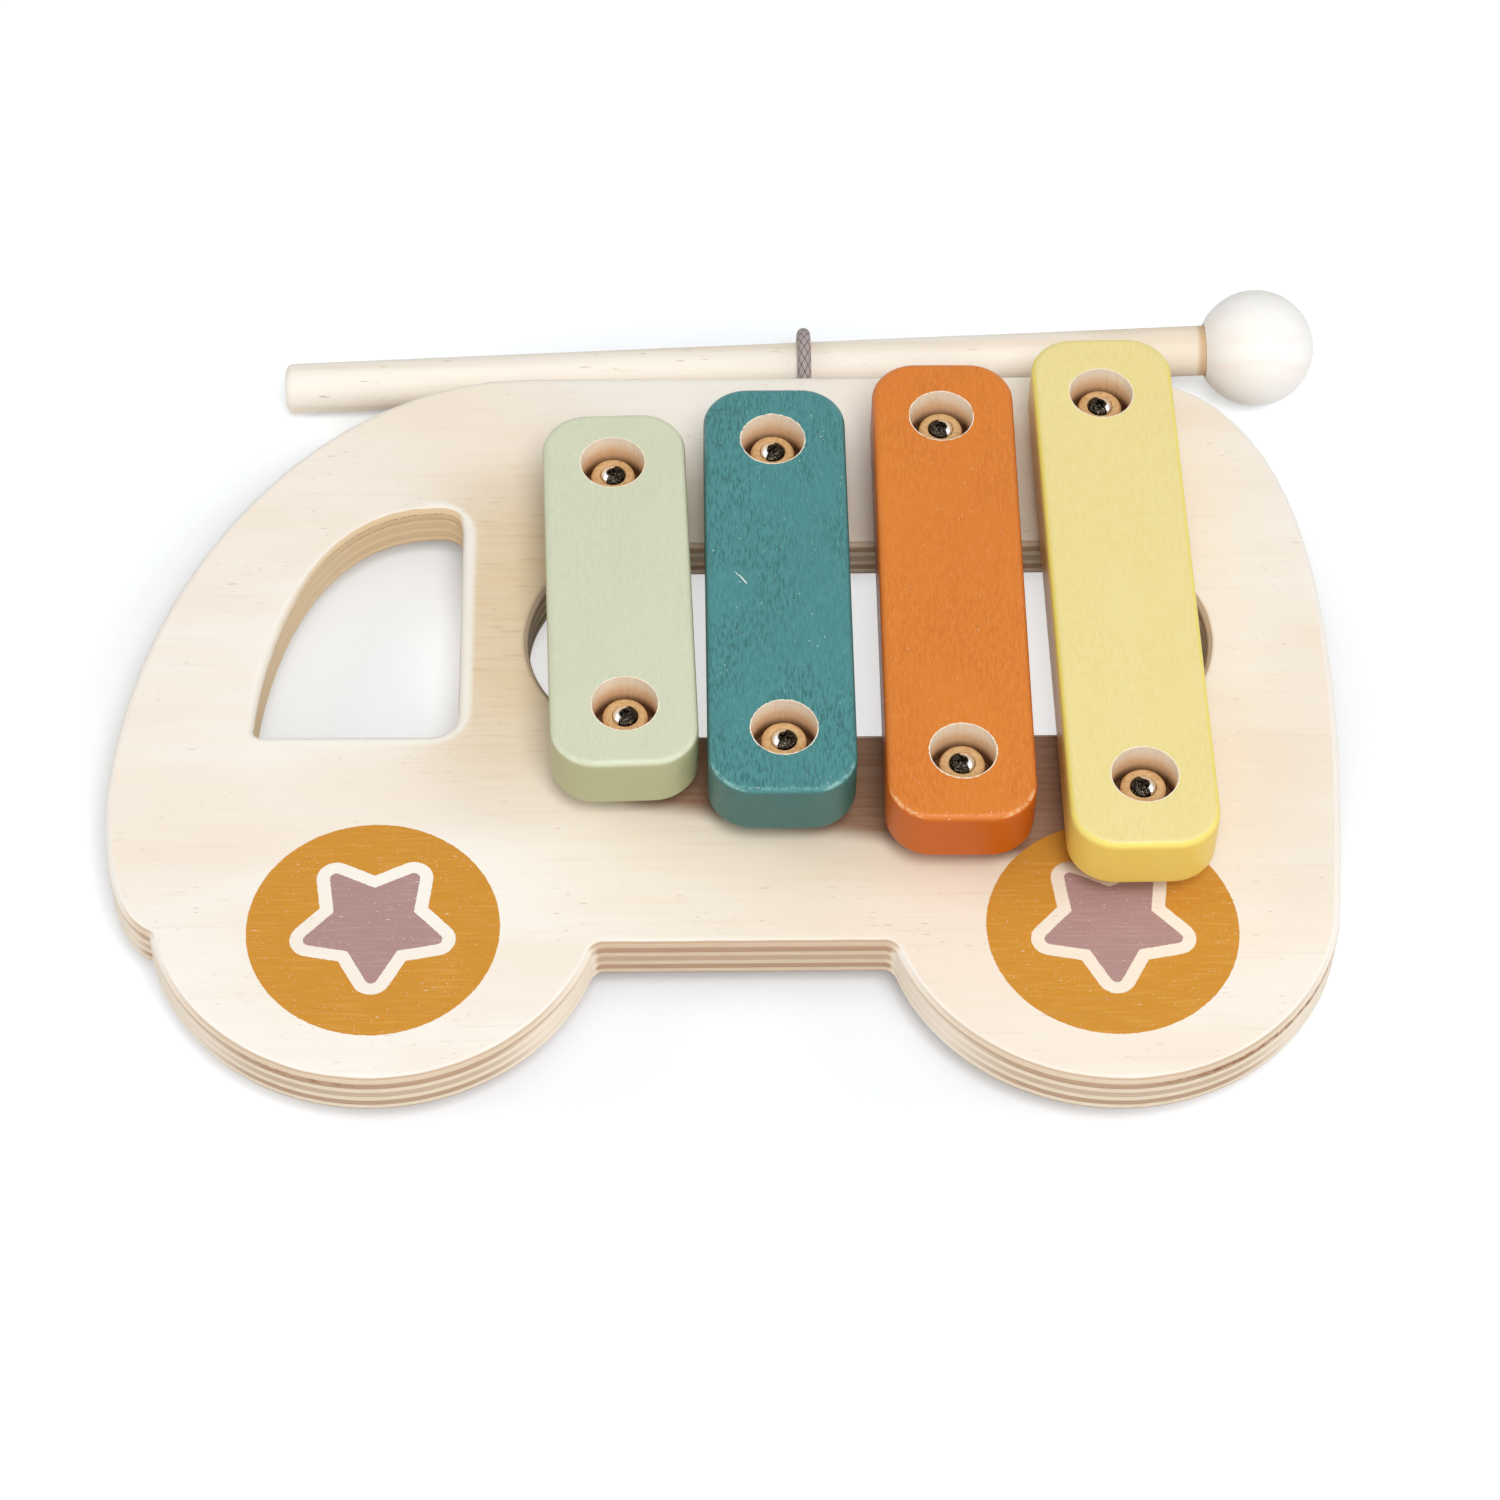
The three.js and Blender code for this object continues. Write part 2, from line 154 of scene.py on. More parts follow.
class BarProperties(PropertyGroup):
    width: size("Width", "Every bar", 0.0326)
    shortest: size("Shortest length", "The bar nearest to the window", 0.1004)
    step: size("Length step", "From one bar to the next", 0.015)
    thickness: size("Thickness", "Every bar", 0.015)
    corner: size("Corner radius", "Seen from above", 0.0102)
    rounding: size("Edge rounding", "Radius of the rims", 0.0018)
    green_lean: angle("Green lean", "Turn on the board", 1.7)
    teal_lean: angle("Teal lean", "Turn on the board", 0)
    orange_lean: angle("Orange lean", "Turn on the board", -0.2)
    yellow_lean: angle("Yellow lean", "Turn on the board", 0.7)
    bore_radius: size("Counterbore radius", "Round hole over each screw", 0.0073)
    bore_depth: size("Counterbore depth", "From the bar's top", 0.0106)
    shank_hole: size("Shank hole radius", "Through the bar", 0.0018)
    # The side colours are painted shade: darker than the upper faces, since the sides get less
    # light
    green: colour("Green paint", "Upper face", 0xd6dabf)
    green_side: colour("Green sides", "Thicker paint on the sides", 0xb7b78d)
    teal: colour("Teal paint", "Upper face", 0x488a8b)
    teal_side: colour("Teal sides", "Thicker paint on the sides", 0x43706a)
    orange: colour("Orange paint", "Upper face", 0xdf822e)
    orange_side: colour("Orange sides", "Thicker paint on the sides", 0xc8600c)
    yellow: colour("Yellow paint", "Upper face", 0xf1e09a)
    yellow_side: colour("Yellow sides", "Thicker paint on the sides", 0xf0cf62)
    bare: colour("Bare wood", "Walls of the counterbores", 0xfff3de)
    # The warm colour also marks the wood's fibres; further down the counterbore walls it and the
    # next colour are painted shade
    bare_warm: colour("Warm bare wood", "Walls of the counterbores, further down", 0xf2c38c)
    deep_bore_shade: colour("Bore floor", "Bare wood at the bottom of the counterbores", 0x6e4527)


class FittingProperties(PropertyGroup):
    ring_radius: size("Ring radius", "Rubber ring and cushion", 0.005)
    ring_hole: size("Ring hole radius", "Round the screw", 0.0018)
    ring_rounding: size("Ring rounding", "Upper rim of a ring", 0.001)
    ring_lip: size("Ring lip", "Rises round the screw's head", 0.001)
    head_radius: size("Head radius", "Screw head", 0.0028)
    head_shoulder: size("Head shoulder", "Straight side of the head", 0.0007)
    head_rim: size("Head rim", "Rounding between the side and the dome", 0.0008)
    head_fit: size("Head fit", "Gap between the head and the lip", 0.00015)
    shank_radius: size("Shank radius", "Screw shank", 0.0015)
    point: size("Point length", "Tapered end of the screw", 0.003)
    thread_pitch: size("Thread pitch", "Rings cut into the shank", 0.0012)
    thread_depth: size("Thread depth", "Rings cut into the shank", 0.0003)
    cross_length: size("Cross length", "Recess in the head", 0.0034)
    cross_width: size("Cross width", "Recess in the head", 0.0008)
    cross_depth: size("Cross depth", "Recess in the head", 0.0009)
    foot_radius: size("Foot radius", "Underside of a foot", 0.007)
    foot_top_radius: size("Foot top radius", "Where a foot meets the board", 0.006)
    foot_rounding: size("Foot rounding", "Lower rim of a foot", 0.0008)
    ring: colour("Ring", "Tan rubber", 0xdcb37e)
    foot: colour("Foot", "Dark rubber", 0x3f3d3c)


class MalletProperties(PropertyGroup):
    stick_radius: size("Stick radius", "Turned dowel", 0.006)
    stick_rounding: size("Stick rounding", "Free end of the stick", 0.002)
    ball_radius: size("Ball radius", "Turned ball", 0.014)
    ball_bore: size("Ball bore depth", "Hole for the stick", 0.014)
    ball_fit: size("Ball fit", "Gap round the stick", 0.00015)
    bore_rim: size("Bore rim", "Broken edge of the hole", 0.0004)
    tail_reach: size("Tail reach", "Loop to the free end", 0.1245)
    ball_reach: size("Ball reach", "Loop to the ball's middle", 0.109)
    turn: angle("Turn", "Seen from above", 1.26)
    tilt: angle("Tilt", "Ball end up", 1.7915)
    stick: colour("Stick", "Pale beech", 0xfff8ec)
    stick_streak: colour("Stick streaks", "Grain of the stick", 0xf0dcc0)
    ball: colour("Ball", "Nearly white beech", 0xfffefa)
    ball_streak: colour("Ball streaks", "Grain of the ball", 0xfcf1ea)


class LoopProperties(PropertyGroup):
    cord_radius: size("Cord radius", "Elastic cord", 0.0016)
    loop_radius: size("Loop radius", "Middle of the cord round the stick", 0.00785)
    bend_radius: size("Bend radius", "Where the cord turns into its hole", 0.0025)
    end_offset: size("End offset", "Cord ends above and below each other", 0.00145)
    hole_depth: size("Hole depth", "How far the ends go in", 0.012)
    hole_radius: size("Hole radius", "Hole in the board's edge", 0.00335)
    braid_pitch: size("Braid pitch", "One turn of a strand", 0.0052)
    strand: colour("Strand", "Raised strands", 0xc4b6b4)
    # Painted shade in the grooves between the strands
    groove_shade: colour("Groove", "Between the strands", 0x6d5f60)


class StageProperties(PropertyGroup):
    lens: size("Lens", "Focal length", 0.10541)
    pitch: angle("Pitch", "Down from the horizon", 53.6212)
    roll: angle("Roll", "Of the camera", 1.15013)
    turn: angle("Turn", "Of the camera", -1.9)
    floor_size: size("Floor size", "Side of the floor", 6)
    key_power: share("Key power", "Watts of the soft lamp overhead", 19.5)
    side_power: share("Side power", "Watts of the soft lamps at both sides", 4.1)
    front_power: share("Front power", "Watts of the soft lamp in front", 3.5)
    ambient: share("Ambient", "Light from all round", 0.33)
    glow: share("Glow", "Own light of the floor next to the toy, as the camera sees it", 0.2)
    slot_glow: share("Slot glow", "More of it where the floor shows through the slot", 0.38)
    far_glow: share("Far glow", "The same, away from the toy", 0.38)
    horizon_glow: share("Horizon glow", "The same, out of the lamps' reach", 1)
    shade: colour("Shade", "Lit part of the floor, as the camera sees it", 0xe5e9ec)
    floor: colour("Floor", "White paper", 0xf4f4f6)


# Meshes

def new_piece(name, mesh):
    piece = bpy.data.objects.new(name, mesh)
    bpy.context.scene.collection.objects.link(piece)
    return piece


def settle(piece, material, body, slot, *nodes, sharp=35):
    """Gives a finished mesh its material, its smooth shading and its place in the frame.

    Edges that turn by more than sharp degrees stay hard."""
    mesh = piece.data
    mesh.materials.clear()
    mesh.materials.append(material)
    mesh.shade_smooth()
    mesh.set_sharp_from_angle(angle=math.radians(sharp))
    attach(piece, body)
    if nodes:
        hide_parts(*nodes)


def flat_caps(piece):
    """Keeps wide flat faces flat where they meet a rounding."""
    weighted = piece.modifiers.new("flat_caps", "WEIGHTED_NORMAL")
    weighted.keep_sharp = True
    weighted.weight = 100


def apply_modifiers(piece):
    graph = bpy.context.evaluated_depsgraph_get()
    graph.update()
    mesh = bpy.data.meshes.new_from_object(piece.evaluated_get(graph))
    piece.modifiers.clear()
    piece.data = mesh


def carve(piece, *cutters):
    """Cuts each cutter out of the piece, and removes the cutters."""
    for cutter in cutters:
        cut = piece.modifiers.new("carve", "BOOLEAN")
        cut.operation = "DIFFERENCE"
        cut.solver = "EXACT"
        cut.object = cutter
    apply_modifiers(piece)
    for cutter in cutters:
        bpy.data.objects.remove(cutter)


def mesh_from(bm, name, matrix=Matrix()):
    """Ends a mesh's editing, and moves it to its place."""
    bmesh.ops.transform(bm, matrix=matrix, verts=bm.verts)
    mesh = bpy.data.meshes.new(name)
    bm.to_mesh(mesh)
    bm.free()
    return mesh


def turned(name, profile, steps, matrix=Matrix()):
    """Spins a line of (radius, height) points round Z into a closed shape."""
    bm = bmesh.new()
    verts = [bm.verts.new((radius, 0, height)) for radius, height in profile]
    edges = [bm.edges.new(pair) for pair in zip(verts, verts[1:])]
    bmesh.ops.spin(bm, geom=verts + edges, cent=(0, 0, 0), axis=(0, 0, 1), dvec=(0, 0, 0),
                   angle=math.tau, steps=steps, use_merge=True, use_duplicate=False)
    bmesh.ops.remove_doubles(bm, verts=bm.verts, dist=TOUCHING)
    bmesh.ops.recalc_face_normals(bm, faces=bm.faces)
    return mesh_from(bm, name, matrix)


def rounded(middle_radius, middle_height, radius, start, end, steps):
    """Points of a profile's rounding, by angles in degrees from the outward direction."""
    angles = [math.radians(start + (end - start) * step / steps) for step in range(steps + 1)]
    return [(middle_radius + radius * math.cos(a), middle_height + radius * math.sin(a))
            for a in angles]


class Outline:
    """A closed flat line of straight runs, arcs and free curves."""

    def __init__(self, x, y):
        self.knots = [[Vector((x, y)), None, None]]

    def curve(self, first, second, end):
        """A free curve to end, by its two handles."""
        self.knots[-1][2] = Vector(first)
        self.knots.append([Vector(end), Vector(second), None])

    def line(self, end):
        """A straight run keeps no handles, so that it isn't cut into steps."""
        self.knots.append([Vector(end), None, None])

    def corner(self, control, end):
        """A rounded corner that would be sharp at control."""
        start, control, end = self.knots[-1][0], Vector(control), Vector(end)
        self.curve(start.lerp(control, 2 / 3), end.lerp(control, 2 / 3), end)

    def share_curve(self, shares, end):
        """A free curve whose handles are given as shares of the way to end."""
        start, end = self.knots[-1][0], Vector(end)
        span = end - start
        self.curve(*(start + Vector((across * span.x, up * span.y)) for across, up in shares), end)

    def arc(self, x, y, radius, start, end):
        """Part of a circle, in curves of an eighth of a turn at most."""
        middle = Vector((x, y))
        count = max(1, math.ceil(abs(end - start) / (math.pi / 4)))
        turn = (end - start) / count
        pull = 4 / 3 * math.tan(turn / 4) * radius
        first = middle + radius * Vector((math.cos(start), math.sin(start)))
        if (first - self.knots[-1][0]).length > TOUCHING:
            self.line(first)
        for index in range(count):
            a, b = start + index * turn, start + (index + 1) * turn
            at_a = middle + radius * Vector((math.cos(a), math.sin(a)))
            at_b = middle + radius * Vector((math.cos(b), math.sin(b)))
            along_a = Vector((-math.sin(a), math.cos(a)))
            along_b = Vector((-math.sin(b), math.cos(b)))
            self.curve(at_a + pull * along_a, at_b - pull * along_b, at_b)

    def draw(self, curve):
        """Closes the line and adds it to a curve."""
        if (self.knots[-1][0] - self.knots[0][0]).length > TOUCHING:
            self.line(self.knots[0][0])
        self.knots[0][1] = self.knots.pop()[1]
        spline = curve.splines.new("BEZIER")
        spline.bezier_points.add(len(self.knots) - 1)
        spline.use_cyclic_u = True
        for point, (place, left, right) in zip(spline.bezier_points, self.knots):
            point.co = place.to_3d()
            point.handle_left_type = "FREE" if left else "VECTOR"
            point.handle_right_type = "FREE" if right else "VECTOR"
            if left:
                point.handle_left = left.to_3d()
            if right:
                point.handle_right = right.to_3d()


def slab(name, outlines, thickness, rounding, resolution, bevel_steps):
    """A flat board from outlines, with rounded rims, middled on Z = 0."""
    curve = bpy.data.curves.new(name, "CURVE")
    curve.dimensions = "2D"
    curve.fill_mode = "BOTH"
    curve.extrude = thickness / 2 - rounding
    curve.bevel_depth = rounding
    curve.bevel_resolution = bevel_steps
    curve.offset = -rounding
    curve.resolution_u = resolution
    for outline in outlines:
        outline.draw(curve)
    holder = bpy.data.objects.new(name, curve)
    bpy.context.scene.collection.objects.link(holder)
    graph = bpy.context.evaluated_depsgraph_get()
    graph.update()
    mesh = bpy.data.meshes.new_from_object(holder.evaluated_get(graph))
    bpy.data.objects.remove(holder)
    bm = bmesh.new()
    bm.from_mesh(mesh)
    bmesh.ops.remove_doubles(bm, verts=bm.verts, dist=TOUCHING)
    bmesh.ops.recalc_face_normals(bm, faces=bm.faces)
    bm.to_mesh(mesh)
    bm.free()
    return mesh


def middle_of(node):
    low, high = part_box(node)
    return (low + high) / 2


def stand(node):
    """The middle of a node's underside, as a place for a turned shape, and the node's height."""
    low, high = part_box(node)
    centre = middle_of(node)
    return Matrix.Translation((centre.x, centre.y, low.z)), high.z - low.z


# Materials

class Field:
    """A number that varies over a surface. Arithmetic on it adds nodes."""

    def __init__(self, socket):
        self.socket = socket
        self.tree = socket.id_data

    def maths(self, operation, *others, clamp=False):
        return work(self.tree, operation, self, *others, clamp=clamp)

    def __add__(self, other):
        return self.maths("ADD", other)

    __radd__ = __add__

    def __sub__(self, other):
        return self.maths("SUBTRACT", other)

    def __rsub__(self, other):
        return work(self.tree, "SUBTRACT", other, self)

    def __mul__(self, other):
        return self.maths("MULTIPLY", other)

    __rmul__ = __mul__

    def __truediv__(self, other):
        return self.maths("DIVIDE", other)

    def least(self, other):
        return self.maths("MINIMUM", other)

    def most(self, other):
        return self.maths("MAXIMUM", other)

    def size(self):
        return self.maths("ABSOLUTE")

    def sine(self):
        return self.maths("SINE")

    def root(self):
        return self.maths("SQRT")

    def held(self):
        """The same, held between 0 and 1."""
        return self.maths("ADD", 0, clamp=True)

    def rise(self, low, high):
        """0 below low, 1 above high, smooth between. It falls where low is the larger."""
        node = self.tree.nodes.new("ShaderNodeMapRange")
        node.interpolation_type = "SMOOTHSTEP"
        self.tree.links.new(self.socket, node.inputs["Value"])
        falls = low > high
        node.inputs["From Min"].default_value = min(low, high)
        node.inputs["From Max"].default_value = max(low, high)
        node.inputs["To Min"].default_value = 1 if falls else 0
        node.inputs["To Max"].default_value = 0 if falls else 1
        return Field(node.outputs["Result"])


def plug(tree, value, socket):
    """Links a field or a socket, or sets a plain value."""
    if isinstance(value, Field):
        tree.links.new(value.socket, socket)
    elif isinstance(value, bpy.types.NodeSocket):
        tree.links.new(value, socket)
    else:
        socket.default_value = value


def work(tree, operation, *values, clamp=False):
    """Adds a Math node."""
    node = tree.nodes.new("ShaderNodeMath")
    node.operation = operation
    node.use_clamp = clamp
    for value, socket in zip(values, node.inputs):
        plug(tree, value, socket)
    return Field(node.outputs[0])


def hypotenuse(across, along):
    return (across * across + along * along).root()


def distance(x, y, place):
    """How far the surface is from a place, seen from above."""
    return hypotenuse(x - place[0], y - place[1])


def from_run(x, y, start, run):
    """How far the surface is from a straight run, and its offsets from the run's start."""
    from_x, from_y = x - start[0], y - start[1]
    along = ((from_x * run.x + from_y * run.y) / run.length_squared).held()
    return hypotenuse(from_x - along * run.x, from_y - along * run.y), from_x, from_y


class Finish:
    """One material while it is put together."""

    def __init__(self, name):
        self.material = bpy.data.materials.new(name)
        self.material.use_nodes = True
        self.tree = self.material.node_tree
        self.shader = self.tree.nodes["Principled BSDF"]
        place = self.tree.nodes.new("ShaderNodeTexCoord")
        self.position = place.outputs["Object"]
        self.facing = place.outputs["Normal"]
        self.uv = place.outputs["UV"]

    def parts(self, vector):
        """A vector's X, Y and Z."""
        node = self.tree.nodes.new("ShaderNodeSeparateXYZ")
        self.tree.links.new(vector, node.inputs[0])
        return [Field(socket) for socket in node.outputs]

    def noise(self, grain, stretch=(1, 1, 1), detail=2, roughness=0.5, shift=0):
        """Noise whose marks are about grain metres wide, longer where stretch is small."""
        mapping = self.tree.nodes.new("ShaderNodeMapping")
        mapping.inputs["Scale"].default_value = [part / grain for part in stretch]
        mapping.inputs["Location"].default_value = (shift, shift, shift)
        self.tree.links.new(self.position, mapping.inputs["Vector"])
        node = self.tree.nodes.new("ShaderNodeTexNoise")
        self.tree.links.new(mapping.outputs[0], node.inputs["Vector"])
        node.inputs["Scale"].default_value = 1
        node.inputs["Detail"].default_value = detail
        node.inputs["Roughness"].default_value = roughness
        return Field(node.outputs[0])

    def blend(self, factor, first, second):
        """A colour on its way from first to second."""
        node = self.tree.nodes.new("ShaderNodeMix")
        node.data_type = "RGBA"
        plug(self.tree, factor, node.inputs[0])
        plug(self.tree, first, node.inputs[6])
        plug(self.tree, second, node.inputs[7])
        return node.outputs[2]

    def coats(self, base, *layers):
        """Colours laid over each other, each as far as its own mask says."""
        for mask, tint in layers:
            base = self.blend(mask, base, tint)
        return base

    def surface(self, tint, roughness, gloss, relief, depth, metallic=0):
        """The material with its looks joined on. Its relief rises by depth metres."""
        looks = {"Base Color": tint, "Roughness": roughness, "Specular IOR Level": gloss,
                 "Metallic": metallic}
        for name, value in looks.items():
            plug(self.tree, value, self.shader.inputs[name])
        bump = self.tree.nodes.new("ShaderNodeBump")
        bump.inputs["Strength"].default_value = 1
        bump.inputs["Distance"].default_value = depth
        plug(self.tree, relief, bump.inputs["Height"])
        self.tree.links.new(bump.outputs[0], self.shader.inputs["Normal"])
        return self.material


# Tones that belong to one finish alone
PAINT_SPECK = linear(0xf4f6f0)
RING_SHADE = linear(0xb27e48)
RING_GRIT = linear(0xf6dcb4)
# Painted reflection: the screw heads' dark base
DARK_REFLECTION = linear(0x1a1513)
PITTED = linear(0xb8a88e)
DULL_STEEL = linear(0x8d8478)
# Painted highlight on the screw heads
GLINT_WHITE = linear(0xffffff)
FOOT_BLOOM = linear(0x6a6765)
# Painted shade on the stick toward the ball, and the ball's painted shadow next to it
BALL_SHADE = linear(0xe8d3b4)
BALL_SHADOW = linear(0xcfa674)
BEECH_FLECK = linear(0xb07c50)
CORD_FUZZ = linear(0xd8cdca)

PRINT_SOFTNESS = 0.00007
PRINT_RAGGEDNESS = 0.00035


def star_masks(finish, prints, x, y, centre):
    """Where a print's star has its border, and where its fill."""
    half_point = math.tau / 10
    across = (x - centre[0]).size()
    front = centre[1] + prints.star_rise - y
    radius = hypotenuse(across, front)
    folded = across.maths("ARCTAN2", front).maths("PINGPONG", half_point)
    along, aside = radius * folded.maths("COSINE"), radius * folded.sine()
    tip = Vector((prints.star_tip, 0))
    waist = prints.star_waist * Vector((math.cos(half_point), math.sin(half_point)))
    edge = waist - tip
    gap, from_tip, _ = from_run(along, aside, tip, edge)
    core = gap * (from_tip * edge.y - aside * edge.x).maths("SIGN")
    outward = Vector((edge.y, -edge.x)).normalized()
    ray = waist.normalized()
    notch = ray * (prints.star_waist + prints.star_border / abs(outward.dot(ray)))
    clear = distance(along, aside, notch)
    ragged = (finish.noise(0.0007, detail=3) - 0.5) * PRINT_RAGGEDNESS

    def inked(field, reach):
        return (field + ragged).rise(reach + PRINT_SOFTNESS, reach - PRINT_SOFTNESS)

    border, fill = inked(core, prints.star_border), inked(core, prints.star_fill)
    return border, fill * (1 - inked(clear, prints.star_border - prints.star_fill))


# Burnt streaks: X and Y from the board's middle, outer and inner reach, the part of the noise
# that shows, and strength
SCORCHES = (
    (0.1145, -0.0855, 0.036, 0.010, 0.36, 0.60, 0.85),
    (-0.0925, -0.0965, 0.020, 0.004, 0.42, 0.62, 0.60),
)


class Plywood:
    """Birch plywood: face veneer, nine plies on every cut edge, and two printed wheels."""

    def __init__(self, settings, middle, top):
        self.board, self.prints = settings.board, settings.prints
        self.middle_x, self.middle_y = middle
        self.top = top
        self.window_left = self.middle_x + self.board.window_nose_rail - self.board.length / 2
        self.window_right = self.window_left + self.board.window_length
        self.window_top = self.middle_y + self.board.depth / 2 - self.board.window_roof_rail
        self.sill = self.window_top - self.board.window_height
        self.finish = Finish("birch_plywood")
        self.x, self.y, self.z = self.finish.parts(self.finish.position)
        self.facing_x, self.facing_y, self.facing_z = self.finish.parts(self.finish.facing)
        self.grain = self.finish.noise(0.0011, stretch=(0.035, 1, 1), detail=4, roughness=0.6)

    def material(self):
        finish, board, grain = self.finish, self.board, self.grain
        pores = finish.noise(0.00042, stretch=(0.14, 1, 1), detail=1, shift=7)
        patches = finish.noise(0.012, detail=1, shift=3)
        flecks = pores.rise(0.70, 0.78) * patches.rise(0.42, 0.62)
        wander = (finish.noise(0.009, stretch=(1, 1, 0.1), detail=2, shift=11) - 0.5) * 0.2
        depth = (self.top - self.z) * MILLIMETRES + wander
        on_edge = depth.rise(0.10, 0.22)
        spots = finish.noise(0.00035, detail=2, shift=9)
        edge, glue = self.plies(depth, spots)
        inks = self.inks()
        inked = reduce(Field.most, [mask for mask, _ in inks])
        # The rims that don't face the front get a painted highlight
        tint = finish.coats(self.veneer(), (flecks * 0.42, board.fleck), (on_edge, edge),
                            (self.rims(depth) * 0.9, board.rim_highlight),
                            *self.scorches(depth), *inks)
        roughness = 0.66 - inked * 0.14 + (grain - 0.5) * 0.12
        relief = (grain * 0.5 - flecks * 0.9 - glue * on_edge * 0.8 - spots * on_edge * 0.5
                  + inked * 0.35)
        return finish.surface(tint, roughness, 0.12, relief, 0.00006)

    def veneer(self):
        """The face veneer without its pores: clouds, a tan heart, painted shade between the bars
        and a painted highlight along the window.
        """
        finish, board, x, y, grain = self.finish, self.board, self.x, self.y, self.grain
        clouds = finish.noise(0.03, stretch=(0.35, 1, 1), detail=3)
        bands = finish.noise(0.006, stretch=(0.05, 1, 1), detail=2)
        dashes = finish.noise(0.0008, stretch=(0.1, 1, 1), detail=3, shift=15)
        squash = 0.55
        place = (self.middle_x - 0.047, (self.middle_y + 0.025) * squash)
        heart = distance(x, y * squash, place).rise(0.036, 0.010)
        squash = 0.4
        place = ((self.middle_x + 0.02) * squash, self.middle_y - 0.036)
        fore = distance(x * squash, y, place).rise(0.036, 0.008)
        return finish.coats(
            board.veneer,
            (clouds.rise(0.3, 0.72), board.veneer_warm),
            (bands.rise(0.45, 0.8) * 0.25, board.veneer_warm),
            (heart * (0.5 + grain * 0.4), board.heart),
            (heart * dashes.rise(0.54, 0.72) * 0.32, board.heart_streak),
            (fore * (0.25 + grain * 0.4), board.tanned),
            # Painted shade on the strip between the bars
            (self.gap_shade_mask() * (0.75 + grain * 0.3), board.gap_shade),
            # Painted highlight along the window's right side and sill
            (self.window_highlight() * 0.85, board.rim_highlight),
            (grain.rise(0.55, 0.8) * 0.10, board.fleck))

    def gap_shade_mask(self):
        """Painted shade: 1 on the strip between the front screws, from the slot nearly to the bars'
        ends.
        """
        first, last = (middle_of(f"screw_{name}_front") for name in (BARS[0], BARS[-1]))
        slope = (last.y - first.y) / (last.x - first.x)
        screws = (self.x - first.x) * slope + first.y
        return ((self.y - screws).rise(-0.0145, -0.0085)
                * self.x.rise(first.x - 0.004, first.x + 0.004)
                * self.x.rise(last.x + 0.004, last.x - 0.004)
                * self.y.rise(self.middle_y - 0.002, self.middle_y - 0.006))

    def window_highlight(self):
        """Painted highlight: 1 on the pale band along the window's right side and sill."""
        x, y, corner = self.x, self.y, self.board.window_sill_corner
        aside = (x - (self.window_right - corner)).most(0)
        beyond = ((self.sill + corner) - y).most(y - (self.window_top - corner)).most(0)
        band = hypotenuse(aside, beyond).rise(corner + 0.0038, corner + 0.0022)
        inside = (y.rise(self.sill + 0.012, self.sill + 0.020)
                  * x.rise(self.window_right - 0.006, self.window_right - 0.014))
        return band * x.rise(self.window_left - 0.002, self.window_left + 0.003) * (1 - inside)

    def plies(self, depth, spots):
        """The cut edges' colour and glue lines, by the depth in millimetres under the face."""
        finish, board, middle_y = self.finish, self.board, self.middle_y
        to_count = (depth - board.first_ply * MILLIMETRES) / (board.ply * MILLIMETRES)
        count = to_count.most(-0.9).least(6.9)
        even = 1 - count.maths("FLOOR").size().maths("MODULO", 2)
        across_grain = (even * (1 - (count - 2.5).size().rise(0.6, 0.4) * 0.35)
                        + depth.rise(1.35, 1.15) * 0.35
                        + (depth - 0.37).size().rise(0.16, 0.05) * 0.4)
        from_middle = (count.maths("FRACT") - 0.5).size()
        glue = from_middle.rise(0.41, 0.5) * count.rise(-0.1, 0.1)
        fibres = finish.noise(0.0005, stretch=(0.12, 0.12, 1), detail=3, shift=5)

        in_window = (self.x.rise(self.middle_x - 0.050, self.middle_x - 0.056)
                     * self.y.rise(middle_y - 0.030, middle_y - 0.020))
        dark = finish.blend(spots.rise(0.42, 0.68) * 0.6, board.cross_ply, board.fleck)
        dotted = from_middle.rise(0.36, 0.47) * in_window * spots.rise(0.42, 0.58)

        # Painted light: the bulges' walls are painted paler where they face nose or tail, and the
        # arch between them gets painted shade
        sideways = self.facing_x * self.facing_x
        bulges = self.y.rise(middle_y - 0.012, middle_y - 0.042)
        seam = (depth - 1.5).size().rise(0.5, 0.2) * sideways.rise(0.9, 0.5)
        arch_shade = ((self.x - self.middle_x).size().rise(0.037, 0.033) * bulges
                   * sideways.rise(0.3, 0.1))
        edge = finish.coats(
            board.long_ply,
            (fibres.rise(0.35, 0.75) * 0.55, board.veneer_warm),
            (in_window * 0.7, board.heart),
            (across_grain * (0.62 + fibres * 0.3) * (1 - in_window * 0.72), dark),
            (glue * (0.3 + spots * 0.5) * (1 - in_window * 0.5), board.fleck),
            (dotted * count.rise(2, 0.6) * 0.7, board.scorch),
            (in_window * self.facing_x.rise(0.55, 0.95) * 0.6, board.tanned),
            # Painted light on the bulge walls that face nose or tail
            (sideways.rise(0.15, 0.6) * bulges * (0.85 - seam * 0.6), board.rubbed_and_lit),
            # Painted shade on the arch between the bulges
            (arch_shade * 0.3, board.cross_ply))
        return edge, glue

    def rims(self, depth):
        """Painted highlight: 1 on the rims that don't face the front, outside the slot."""
        in_slot = (self.y.rise(self.middle_y - 0.012, self.middle_y - 0.008)
                   * self.y.rise(self.window_top - 0.003, self.window_top - 0.007)
                   * self.x.rise(self.window_right + 0.006, self.window_right + 0.010)
                   * self.x.rise(self.middle_x + 0.118, self.middle_x + 0.114))
        return (self.facing_z.rise(0.998, 0.93) * self.facing_y.rise(-0.5, -0.12)
                * depth.rise(2.3, 1.7) * (1 - in_slot))

